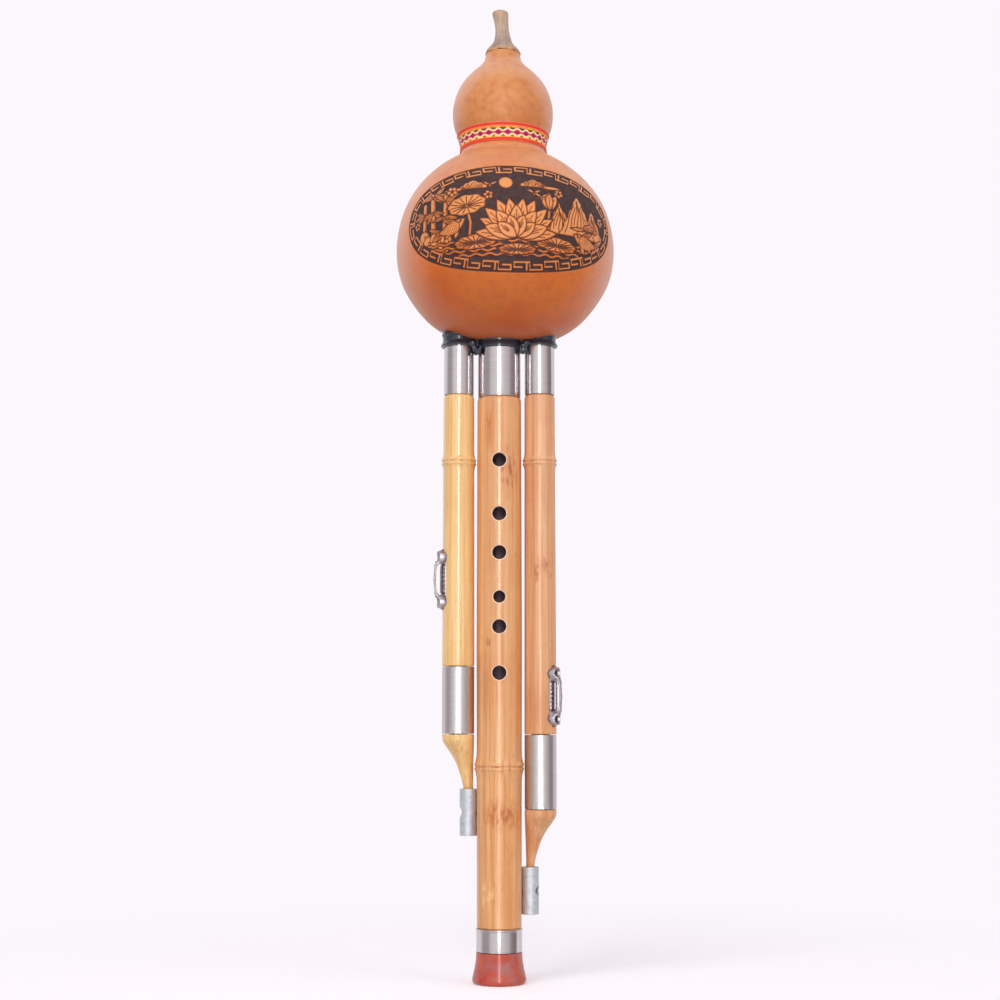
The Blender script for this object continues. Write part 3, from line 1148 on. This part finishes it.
def build_block():
    """Three collars run together by the black filler that seals them to the gourd."""
    left_x, right_x = DRONES["left"]["x"], DRONES["right"]["x"]
    pipes = [(MELODY_X, MELODY_FERRULE_R + SEAT_GAP, MELODY_COLLAR_LIP, MELODY_RING_Z, MELODY_COLLAR)]
    pipes += [(x, DRONE_FERRULE_R + SEAT_GAP, DRONE_COLLAR_LIP, DRONE_RING_Z, DRONE_COLLAR) for x in (left_x, right_x)]
    parts, cutters = [], []
    for x, r, lip, ring_z, side in pipes:
        outline = [(r - 1.0, lip)] + [(r + out, lip + up) for out, up in side]
        outline += [(r + 0.4, ring_z - 1.6), (r + 1.5, ring_z - 1.2), (r + 1.5, BLOCK_TOP), (r - 1.0, BLOCK_TOP)]
        parts.append(mesh_object("collar", *turned(outline, 64, x), [BLACK]))
    parts.append(rounded_box("web", (left_x, -4.5, BLOCK_LIP + 0.6), (right_x, 4.5, BLOCK_TOP), BLACK, 0.8, 3))
    parts += [blob(*drip) for drip in DRIPS]
    block = parts[0]
    bpy.ops.object.select_all(action="DESELECT")
    for part in parts:
        part.select_set(True)
    bpy.context.view_layer.objects.active = block
    bpy.ops.object.join()
    remesh = block.modifiers.new("run together", "REMESH")
    remesh.mode = "VOXEL"
    remesh.voxel_size = 0.28 * MM
    melt = block.modifiers.new("melt", "SMOOTH")
    melt.factor = 0.5
    melt.iterations = 4
    carve(block)
    for x, r, _, ring_z, _ in pipes:
        cutters.append(rod_cutter(r, (x, 0, 294.0), (x, 0, 324.0), BLACK, 96))
        cutters.append(rod_cutter(r + 1.1, (x, 0, ring_z - 0.85), (x, 0, ring_z + 0.85), BLACK, 64))
    carve(block, *cutters)
    mesh = block.data
    mesh.materials.clear()
    mesh.materials.append(bpy.data.materials[BLACK])
    mesh.polygons.foreach_set("material_index", np.zeros(len(mesh.polygons), dtype=np.int32))
    mesh.polygons.foreach_set("use_smooth", np.ones(len(mesh.polygons), dtype=bool))
    block.name = "black_socket_block"
    belongs(block, "wind_chest", "socket_block")


# ---- pipes, ferrules and foot

def darken_bore(piece, x, bore_r):
    """Gives the second finish to the faces that lie on the bore."""
    mesh = piece.data
    centres = np.empty(len(mesh.polygons) * 3)
    mesh.polygons.foreach_get("center", centres)
    centres = centres.reshape(-1, 3) / MM
    kinds = np.empty(len(mesh.polygons), dtype=np.int32)
    mesh.polygons.foreach_get("material_index", kinds)
    kinds[np.hypot(centres[:, 0] - x, centres[:, 1]) < bore_r + 0.02] = 1
    mesh.polygons.foreach_set("material_index", kinds)


def bamboo_side(bottom, top, taper, r, node_z, node_r, reach):
    """The bark's outline from bottom to top, with the ring at its node and an eased upper edge."""
    heights = np.unique(np.concatenate([
        np.arange(bottom, top, 1.4), np.arange(node_z - 2.2 * reach, node_z + 2.2 * reach, 0.25),
        np.linspace(top - 1.6, top, 9), np.linspace(bottom, bottom + 0.6, 5)]))
    z = heights[(heights >= bottom) & (heights <= top)]
    side = r * np.interp((z - bottom) / (top - bottom), *zip(*taper))
    away = z - node_z
    side += (node_r - side) * hump(away, 0, reach)
    side += 0.24 * hump(away, 1.0, 0.55) + 0.28 * hump(away, -1.2, 0.55) - 0.3 * hump(away, -0.1, 0.4)
    side -= 0.8 * (1 - np.sqrt(np.maximum(1 - np.maximum(1 - (top - z) / 1.6, 0) ** 2, 0)))
    side -= 0.3 * np.maximum(1 - (z - bottom) / 0.5, 0) ** 2
    return list(zip(side, z))


def build_melody_pipe():
    side = bamboo_side(MELODY_BOTTOM, MELODY_TOP, [(0, 0.985), (0.17, 0.995), (0.38, 1.008), (0.52, 1.02), (1, 1)],
                       10.75, MELODY_NODE_Z, 11.7, 3.7)
    foot_r, tenon_r, tenon_top = 10.05, 9.65, MELODY_TENON_TOP
    outline = [(foot_r, FOOT_FERRULE_BOTTOM), (foot_r, MELODY_BOTTOM)] + side + [
        (tenon_r, MELODY_TOP), (tenon_r, tenon_top - 0.4), (tenon_r - 0.4, tenon_top), (MELODY_BORE_R, tenon_top),
        (MELODY_BORE_R, 200.0), (MELODY_BORE_R, 100.0), (MELODY_BORE_R, FOOT_FERRULE_BOTTOM)]
    pipe = mesh_object("melody_bamboo", *turned(outline, 120, MELODY_X), ["warm bamboo", "dark lacquered bore"], 40.0)
    radii, heights = zip(*side)
    carve(pipe, *(hole_cutter(r, float(np.interp(z, heights, radii)), z, turn)
                  for holes, turn in ((FINGER_HOLES, 0.0), (BACK_HOLES, math.pi)) for z, r in holes))
    darken_bore(pipe, MELODY_X, MELODY_BORE_R)
    belongs(pipe, "melody_joint", "melody_pipe")


def build_ferrule(name, node, body, x, r, bottom, top, bead=()):
    outline = [(r - WALL, bottom), (r, bottom)] + [(r + out, top - down) for out, down in bead]
    outline += [(r, top), (r - WALL, top)]
    ferrule = mesh_object(name, *turned(eased(outline, 0.12, 2), 128, x), ["polished steel tube"], 50.0)
    belongs(ferrule, body, node)


def build_foot():
    heights = [0, 0.04, 0.14, 0.31, 0.53, 0.76, 1]
    flares = [0.5, 0.8, 1, 0.74, 0.36, 0.1, 0]
    side = smooth_line([(10.9 + 1.9 * f, FOOT_HEIGHT * h) for h, f in zip(heights, flares)], 8)
    outline = [(8.6, 0.0), (11.3, 0.0), *side[2:], (7.0, FOOT_HEIGHT), (7.0, 23.6), (6.5, 23.6), (6.5, 7.3), (6.9, 5.0),
               (7.6, 2.4), (8.3, 0.6)]
    foot = mesh_object("agate_foot", *turned(outline, 128, MELODY_X), ["red agate resin"], 40.0)
    belongs(foot, "melody_joint", "foot_bell")


def build_drone_pipe(name, drone):
    x, bottom = drone["x"], drone["bottom"]
    outline = bamboo_side(bottom, DRONE_TOP, DRONE_TAPER, drone["r"], DRONE_NODE_Z, drone["node_r"], 2.5) + [
        (6.5, DRONE_TOP), (6.5, DRONE_TENON_TOP), (DRONE_BORE_R, DRONE_TENON_TOP), (DRONE_BORE_R, bottom)]
    pipe = mesh_object(
        name + "_drone_bamboo", *turned(outline, 96, x), [drone["bamboo"], "dark lacquered bore"], 40.0)
    darken_bore(pipe, x, DRONE_BORE_R)
    belongs(pipe, "wind_chest", name + "_drone_pipe")


def build_valve(name, drone):
    x, r, (bottom, top) = drone["x"], drone["r"], drone["sleeve"]
    heights = [*np.linspace(bottom + 0.15, bottom + 2.2, 9), *np.linspace(bottom + 4, top - 0.15, 12)]
    outline = [(r - WALL, bottom), (r - 0.1, bottom)] + [(r, z) for z in heights]
    points, faces = turned(outline + [(r - 0.1, top), (r - WALL, top)], 144, x)
    turn = np.arctan2(points[:, 1], points[:, 0] - x)
    dents = np.maximum.reduce([hump(np.mod(turn - t + math.pi, TURN), math.pi, 0.07)
                               for t in (-2.3, -1.95, -1.55, -1.2, 0.4, 1.3, 2.4)])
    inward = 0.22 * hump(points[:, 2], bottom, 1.1) * dents
    points[:, :2] -= inward[:, None] * np.stack([np.cos(turn), np.sin(turn)], axis=-1)
    sleeve = mesh_object(name + "_turning_sleeve", points, faces, ["brushed steel tube"], 50.0)
    core_r, spigot_r = r - WALL - SEAT_GAP, DRONE_BORE_R - SEAT_GAP
    low, high = drone["tip_top"] - 5.5, drone["bottom"] + 5.5
    outline = [(spigot_r, low), (spigot_r, bottom), (core_r, bottom), (core_r, top), (spigot_r, top), (spigot_r, high),
               (3.2, high), (3.2, low)]
    core = mesh_object(name + "_core", *turned(eased(outline, 0.2, 2), 72, x), [BLACK], 40.0)
    middle = (bottom + top) / 2
    for piece, finish, body, node in ((sleeve, "brushed steel tube", name + "_valve", name + "_valve_sleeve"),
                                      (core, BLACK, "wind_chest", name + "_valve_core")):
        carve(piece, rod_cutter(VALVE_PORT_R, (x, 0, middle), (x, r + 3, middle), finish))
        belongs(piece, body, node)


# ---- tips and clips

def clip_centre(name):
    clip = CLIPS[name]
    return MELODY_X + clip["reach"] * math.cos(clip["turn"]), clip["reach"] * math.sin(clip["turn"])


def build_tip(name, drone):
    """The tip narrows from the drone's round end to a peg that stands in its clip tube."""
    x, r, top, peg_r = drone["x"], drone["r"], drone["tip_top"], drone["peg_r"]
    peg_x, peg_y = clip_centre(name)
    peg_x -= x
    drops = [0, 0.1, 0.2, 0.3, 0.42, 0.55, 0.7, 0.85, 1]
    swells = [1, 0.97, 0.83, 0.66, 0.47, 0.31, 0.18, 0.07, 0]
    rings = [(0.0, 0.0, top, r - 0.35), (0.0, 0.0, top - 0.1, r - 0.1)]
    for drop, swell in smooth_line(list(zip(drops, swells)), 7):
        swell = min(max(swell, 0.0), 1.0)
        rings.append((peg_x * (1 - swell), peg_y * (1 - swell), top - 0.3 - (drone["tip_length"] - 0.3) * drop,
                      peg_r + (r - peg_r) * swell))
    low, sides = CLIPS[name]["top"] - 5.5, 72
    rings += [(peg_x, peg_y, low + 0.4, peg_r), (peg_x, peg_y, low, peg_r - 0.4)]
    points = []
    for cx, cy, z, ring_r in rings:
        for t in steps_round(sides):
            whittled = ring_r * (1 + 0.012 * math.sin(3 * t + z / 6) * min(max((top - 1 - z) / 4, 0), 1))
            points.append((x + cx + whittled * math.cos(t), cy + whittled * math.sin(t), z))
    faces = tube_faces(len(rings), sides, inward=True)
    tip = mesh_object(name + "_tapered_tip", points, faces, [drone["bamboo"]], 40.0)
    belongs(tip, "wind_chest", name + "_drone_tip")


def aimed(points, origin, direction):
    """Moves points made about Z so that Z runs along the direction from the origin."""
    axis = np.asarray(direction, dtype=float)
    axis /= np.linalg.norm(axis)
    across = np.cross((0, 0, 1), axis)
    across /= np.linalg.norm(across)
    return np.asarray(origin) + np.asarray(points, dtype=float) @ np.array([across, np.cross(axis, across), axis])


def screw(name, node, body, finish, origin, direction, head_r, head_height, shank_r, shank_length, spun_by):
    """A round-headed screw with a cross in its head; the origin is under the head."""
    count = max(int(shank_length / 0.5), 2)
    outline = [(0.0, -shank_length - 0.3)]
    for k in range(count):
        z = -shank_length + shank_length * k / count
        outline += [(shank_r * 0.82, z), (shank_r, z + shank_length / count * 0.5)]
    outline.append((shank_r * 0.82, 0.0))
    outline += [(head_r * out, head_height * up)
                for out, up in ((1, 0), (1, 0.35), (0.86, 0.72), (0.6, 0.93), (0.3, 1), (0, 1))]
    points, faces = turned(outline, 32)
    piece = mesh_object(name, aimed(points, origin, direction), faces, [finish], 40.0)
    outward(piece)
    for turn in (spun_by, spun_by + 90):
        c, s = math.cos(math.radians(turn)), math.sin(math.radians(turn))
        corners = [(p * c - q * s, p * s + q * c, head_height * h) for p in (-head_r * 0.72, head_r * 0.72)
                   for q in (-head_r * 0.16, head_r * 0.16) for h in (0.45, 1.6)]
        faces = [[0, 1, 3, 2], [4, 6, 7, 5], [0, 4, 5, 1], [2, 3, 7, 6], [0, 2, 6, 4], [1, 5, 7, 3]]
        cutter = mesh_object("cutter", aimed(corners, origin, direction), faces, [finish])
        outward(cutter)
        carve(piece, cutter)
    belongs(piece, body, node)


def build_clip(name):
    clip = CLIPS[name]
    x, y = clip_centre(name)
    top, bottom = clip["top"], clip["top"] - CLIP_LENGTH
    outline = eased([(CLIP_R - 0.8, bottom), (CLIP_R, bottom), (CLIP_R, top), (CLIP_R - 0.8, top)], 0.25, 3)
    rows = []
    for a, b in zip(outline, outline[1:] + outline[:1]):
        steps = 24 if abs(a[1] - b[1]) > 5 else 1
        rows += [(a[0] + (b[0] - a[0]) * k / steps, a[1] + (b[1] - a[1]) * k / steps) for k in range(steps)]
    points, faces = turned(rows, 72)
    turn, z = np.arctan2(points[:, 1], points[:, 0]), points[:, 2]
    lumps = 0.035 * np.sin(5 * turn + z / 2.3) * np.sin(z / 3.1 + 2 * turn) + 0.02 * np.sin(9 * turn)
    points[:, :2] *= (1 + lumps / CLIP_R * (np.hypot(points[:, 0], points[:, 1]) > CLIP_R - 0.5))[:, None]
    tube = mesh_object(name + "_cast_clip", points + (x, y, 0.0), faces, ["dull cast zinc"], 45.0)
    away, hole = (np.array([math.cos(angle), math.sin(angle), 0.0]) for angle in (clip["turn"], clip["hole"]))
    middle = np.array([x, y, (top + bottom) / 2])
    carve(tube, rod_cutter(clip["hole_r"], middle, middle + hole * 7, "dull cast zinc"),
          rod_cutter(1.4, middle, middle - away * 7, "dull cast zinc"))
    belongs(tube, "melody_joint", name + "_clip_tube")
    head_r = 0.62 * CLIP_BORE_R
    seat = middle - away * math.sqrt(CLIP_BORE_R ** 2 - head_r ** 2)
    screw(name + "_clip_fixing", name + "_clip_screw", "melody_joint", "polished steel tube", seat, away,
          head_r, 1.2, 1.1, 4.4, 20)


# ---- brackets

BRACKET_SCREW_Z = 10.915
PLATE_HEIGHTS = [0, 6.2, 7.4, 8.6, 10.0, 11.2, 12.4, 13.2, 13.9, 14.5, 14.75]
PLATE_HALF_WIDTHS = [3.15, 3.15, 2.75, 3.2, 3.75, 3.8, 3.1, 2.0, 1.25, 0.6, 0.05]


def bracket_relief(y, z):
    """Height of the cast plate at its points, and how deep each lies in a recess."""
    tall = np.abs(z)
    body, lobe = unit(7.2 - tall), unit(tall - 7.4)
    knob = np.hypot(y, tall - BRACKET_SCREW_Z)
    beads = 0.7 + 0.3 * np.cos(z * 3.3)
    height = 0.6 + body * (0.6 * beads * hump(np.abs(y), 2.5, 0.42) + 0.85 * hump(y, 0, 0.55))
    height += lobe * 2.3 * hump(knob, 2.5, 0.6) * (0.85 + 0.15 * np.cos(4 * np.arctan2(y, z)))
    height += 1.5 * hump(tall, 8.1, 0.75) * hump(y, 0, 1.9)
    height += 0.45 * body * hump(np.abs(y), 1.5, 0.5) * unit(3 * np.cos(TURN * z / 2.4) - 1.8)
    return height, 0.9 * lobe * unit(np.abs(knob - 2.5) / 0.7 - 0.5)


def build_bracket(name, drone):
    angle = -math.pi / 2 + drone["side"] * math.radians(drone["bracket_turn"])
    out, across = ((math.cos(a), math.sin(a), 0.0) for a in (angle, angle + math.pi / 2))
    share = (drone["bracket_z"] - drone["bottom"]) / (DRONE_TOP - drone["bottom"])
    wall_r = drone["r"] * float(np.interp(share, *zip(*DRONE_TAPER)))
    back = wall_r + 0.12

    def at(outwards, sideways, up):
        return ((drone["x"], 0.0, drone["bracket_z"]) + np.multiply.outer(outwards, out)
                + np.multiply.outer(sideways, across) + np.multiply.outer(up, (0.0, 0.0, 1.0)))

    rows = np.concatenate([np.linspace(-14.75, -5.0, 60), np.linspace(-4.6, 4.6, 24), np.linspace(5.0, 14.75, 60)])
    s, z = np.meshgrid(np.linspace(-1, 1, 25), rows)
    w = np.interp(np.abs(z), PLATE_HEIGHTS, PLATE_HALF_WIDTHS)
    y = s * w
    height, recess = bracket_relief(y, z)
    recess = np.maximum(unit((1.05 - height) / 0.35) * unit((0.97 - np.abs(s)) / 0.05), recess)
    rear = back - wall_r + np.sqrt(np.maximum(wall_r ** 2 - y ** 2, 0.0))
    front = rear + height * np.sqrt(unit(1 - np.abs(s) ** 5)) * unit(w / 1.2) ** 0.5 + 0.02
    plate = np.concatenate([at(front, y, z), at(rear, y, z)[:, ::-1]], axis=1)
    count, columns = plate.shape[:2]
    faces = grid_faces(count, columns).tolist()
    for first in (0, (count - 1) * columns):
        faces += [[first + j, first + columns - 1 - j, first + columns - 2 - j, first + j + 1]
                  for j in range(columns // 2 - 1)]

    crown, sunk = back + 4.0, back + 0.4
    half_path = [(sunk, 8.2), (sunk + 1.7, 8.15), (crown - 0.75, 7.3), (crown - 0.25, 5.2), (crown, 2.6)]
    path = smooth_line([(px, -pz) for px, pz in half_path] + [(crown + 0.1, 0.0)] + half_path[::-1], 8)
    slope = np.gradient(path, axis=0)
    slope /= np.linalg.norm(slope, axis=1)[:, None]
    sides, bar = 20, []
    for (px, pz), (dx, dz) in zip(path, slope):
        bead = 1 + 0.18 * math.exp(-(pz / 0.8) ** 2) + 0.7 * min(max((abs(pz) - 4.6) / 3.0, 0), 1)
        for t in steps_round(sides):
            a, b = (math.copysign(abs(part) ** 0.7, part) * bead for part in (math.cos(t), math.sin(t)))
            bar.append(at(px - dz * 0.46 * a, 0.85 * b, pz + dx * 0.46 * a))
    faces += tube_faces(len(path), sides, count * columns, inward=True)
    piece = mesh_object(name + "_cast_bracket", [*plate.reshape(-1, 3), *bar], faces, ["cast white metal"], 60.0)
    carry(piece, "recess", [*np.hstack([recess, 0 * recess]).reshape(-1), *np.zeros(len(bar))])
    outward(piece)
    belongs(piece, "wind_chest", name + "_bracket")
    for end, z, turn in (("lower", -BRACKET_SCREW_Z, 15), ("upper", BRACKET_SCREW_Z, 55)):
        label = name + "_bracket_" + end
        screw(label + "_fixing", label + "_screw", "wind_chest", "darkened screw", at(back + 0.55, 0.0, z), out,
              1.5, 1.05, 0.8, 2.6, turn)


# ---- reeds

def build_reed(name, body, x, ferrule_r, r, length, tenon_top):
    """A tube with a flat for its brass plate, and a sprung tongue in the plate's slot."""
    top, bottom = FERRULE_TOP + length, tenon_top + SEAT_GAP
    base_r = ferrule_r - WALL - SEAT_GAP
    outline = [(0.0, top - 1.5), (r - 1.5, top - 1.5), (r - 1.5, bottom), (base_r, bottom), (base_r, FERRULE_TOP - 0.3),
               (base_r - 0.3, FERRULE_TOP), (r, FERRULE_TOP), (r, top - 0.7), (r - 0.25, top - 0.2), (r - 0.9, top),
               (0.0, top)]
    tube = mesh_object(name + "_reed_holder", *turned(outline, 72, x), ["moulded reed tube"], 40.0)
    outward(tube)
    flat_y = -(r - 0.9)
    plate_bottom = FERRULE_TOP + (length - REED_PLATE_LENGTH) / 2
    plate_top, tongue_bottom, tongue_top = plate_bottom + REED_PLATE_LENGTH, plate_bottom + 4.5, plate_bottom + 21.5

    def slot_cutter(finish, ease):
        ends = (x - 1.3, -r - 2, tongue_bottom - SEAT_GAP), (x + 1.3, 0, tongue_top + SEAT_GAP)
        return rounded_box("cutter", *ends, finish, ease, 1)

    flat = (x - r, -r - 2, plate_bottom - SEAT_GAP), (x + r, flat_y, plate_top + SEAT_GAP)
    carve(tube, rounded_box("cutter", *flat, "moulded reed tube", 0.05, 1), slot_cutter("moulded reed tube", 0.05))
    belongs(tube, body, name + "_reed_tube")
    back = flat_y - SEAT_GAP
    plate = rounded_box(
        name + "_brass_plate", (x - 2.5, flat_y - 1.1, plate_bottom), (x + 2.5, back, plate_top), "bare brass")
    carve(plate, slot_cutter("bare brass", 0.03))
    belongs(plate, body, name + "_reed_plate")
    tongue = rounded_box(name + "_tongue", (x - 1.0, back - 0.55, tongue_bottom), (x + 1.0, back - 0.25, tongue_top),
                         "bare brass", 0.06)
    belongs(tongue, name + "_reed", name + "_reed_tongue")


build_gourd()
build_stem()
build_ribbon()
build_block()
build_melody_pipe()
build_ferrule("melody_steel_ferrule", "melody_ferrule", "melody_joint", MELODY_X, MELODY_FERRULE_R,
              MELODY_TOP + SEAT_GAP, FERRULE_TOP)
build_ferrule("foot_steel_ferrule", "foot_ferrule", "melody_joint", MELODY_X, 10.85, FOOT_FERRULE_BOTTOM, 25.5,
              [(0, 0.95), (0.28, 0.8), (0.36, 0.45), (0.28, 0.1)])
build_foot()
build_reed("melody", "melody_joint", MELODY_X, MELODY_FERRULE_R, 4.8, 40.0, MELODY_TENON_TOP)
for drone_name, drone_facts in DRONES.items():
    build_drone_pipe(drone_name, drone_facts)
    build_ferrule(drone_name + "_steel_ferrule", drone_name + "_drone_ferrule", "wind_chest", drone_facts["x"],
                  DRONE_FERRULE_R, DRONE_TOP + SEAT_GAP, FERRULE_TOP)
    build_valve(drone_name, drone_facts)
    build_tip(drone_name, drone_facts)
    build_clip(drone_name)
    build_bracket(drone_name, drone_facts)
    build_reed(drone_name, "wind_chest", drone_facts["x"], DRONE_FERRULE_R, 4.0, 34.0, DRONE_TENON_TOP)
for ring_name in ("melody_o_ring", "left_drone_o_ring", "right_drone_o_ring"):
    o_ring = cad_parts[ring_name]
    o_ring.data.materials.clear()
    o_ring.data.materials.append(bpy.data.materials["rubber ring"])


# ---- floor, backdrop and lamps

PALE = (252, 247, 252)
ROOM_LIGHT = 0.53


def lay_floor():
    """A matt floor that fades into the backdrop round the foot."""
    look = Finish("pale floor", Base_Color=(238, 234, 238), Roughness=0.9, Specular_IOR_Level=0.1)
    path = look.node("ShaderNodeLightPath").outputs
    shown = look.calc("MAXIMUM", path["Is Camera Ray"], path["Is Transmission Ray"])
    lift, far = (look.node("ShaderNodeEmission", {"Color": PALE, "Strength": strength}).outputs[0] for strength in (
        look.calc("MULTIPLY", shown, 0.28), look.spread(shown, 0.0, 1.0, ROOM_LIGHT, 1.0)))
    near = look.node("ShaderNodeAddShader", {0: look.tree.nodes["Principled BSDF"].outputs[0], 1: lift}).outputs[0]
    away = look.vector("LENGTH", look.node("ShaderNodeNewGeometry").outputs["Position"])
    surface = look.mix_shaders(look.spread(away, 0.06, 0.42, kind="SMOOTHSTEP"), near, far)
    look.plug(look.tree.nodes["Material Output"].inputs, {"Surface": surface})
    mesh = bpy.data.meshes.new("floor")
    mesh.from_pydata([(-6, -6, 0), (6, -6, 0), (6, 6, 0), (-6, 6, 0)], [], [(0, 1, 2, 3)])
    mesh.materials.append(bpy.data.materials["pale floor"])
    floor = bpy.data.objects.new("floor", mesh)
    bpy.context.collection.objects.link(floor)
    floor.visible_glossy = False


def set_backdrop():
    """White to the eye, a pale room with two darker screens beside the lamps to polished metal."""
    world = bpy.data.worlds.new("studio")
    world.use_nodes = True
    world.node_tree.nodes.clear()
    sky = Wiring(world.node_tree)
    path = sky.node("ShaderNodeLightPath").outputs
    shown = sky.calc("MAXIMUM", path["Is Camera Ray"], path["Is Transmission Ray"])
    direction = sky.parts(sky.node("ShaderNodeTexCoord").outputs["Generated"])
    side = sky.calc("ARCTAN2", direction["X"], sky.calc("MULTIPLY", direction["Y"], -1.0))
    room = sky.ramp(
        sky.calc("MULTIPLY_ADD", side, 0.5 / math.pi, 0.5),
        (0.0, 232, 228, 231), (0.19, 252, 247, 250), (0.245, 182, 178, 180), (0.335, 176, 173, 174),
        (0.367, 222, 219, 219), (0.41, 243, 240, 240), (0.5, 246, 243, 244), (0.56, 242, 238, 239),
        (0.60, 222, 218, 219), (0.645, 212, 208, 208), (0.68, 166, 158, 160), (0.765, 138, 126, 130),
        (0.80, 255, 250, 252), (0.86, 236, 232, 234), (1.0, 232, 228, 231))
    seen = sky.mix(path["Is Glossy Ray"], PALE, room)
    pale = sky.node("ShaderNodeBackground", {"Color": seen, "Strength": 1.0}).outputs[0]
    soft = sky.node("ShaderNodeBackground", {"Color": (250, 248, 250), "Strength": ROOM_LIGHT}).outputs[0]
    view = sky.mix_shaders(sky.calc("MAXIMUM", shown, path["Is Glossy Ray"]), soft, pale)
    sky.node("ShaderNodeOutputWorld", {"Surface": view})
    bpy.context.scene.world = world


def hang_lamp(name, location, aim_z, width, height, power, mirrored=False):
    """An oblong lamp, in metres, aimed at the object's axis; only a mirrored one shows in polished metal."""
    data = bpy.data.lights.new(name, "AREA")
    data.shape = "RECTANGLE"
    data.size, data.size_y = width, height
    data.energy = power
    lamp = bpy.data.objects.new(name, data)
    lamp.location = location
    toward = np.array([0.0, 0.0, aim_z]) - location
    toward /= np.linalg.norm(toward)
    lamp.rotation_euler = (math.acos(-toward[2]), 0.0, math.atan2(toward[0], -toward[1]) + math.pi)
    lamp.visible_glossy = mirrored
    bpy.context.collection.objects.link(lamp)
    return lamp


lay_floor()
set_backdrop()
hang_lamp("tall strip", (0.0, -1.7, 0.35), 0.27, 0.1, 2.1, 10.5)
mirror_strip = hang_lamp("strip seen in gloss", (0.0, -1.72, 0.35), 0.27, 0.26, 2.1, 13.8, mirrored=True)
mirror_strip.visible_diffuse = False
hang_lamp("bright middle", (0.0, -1.69, 0.44), 0.27, 0.08, 0.2, 0.6, mirrored=True)
hang_lamp("soft box", (-0.9, -1.3, 1.6), 0.25, 1.1, 0.9, 16.0)
hang_lamp("fill", (1.3, -0.9, 0.7), 0.22, 0.9, 0.9, 5.5)
bpy.context.scene.view_settings.view_transform = "Standard"
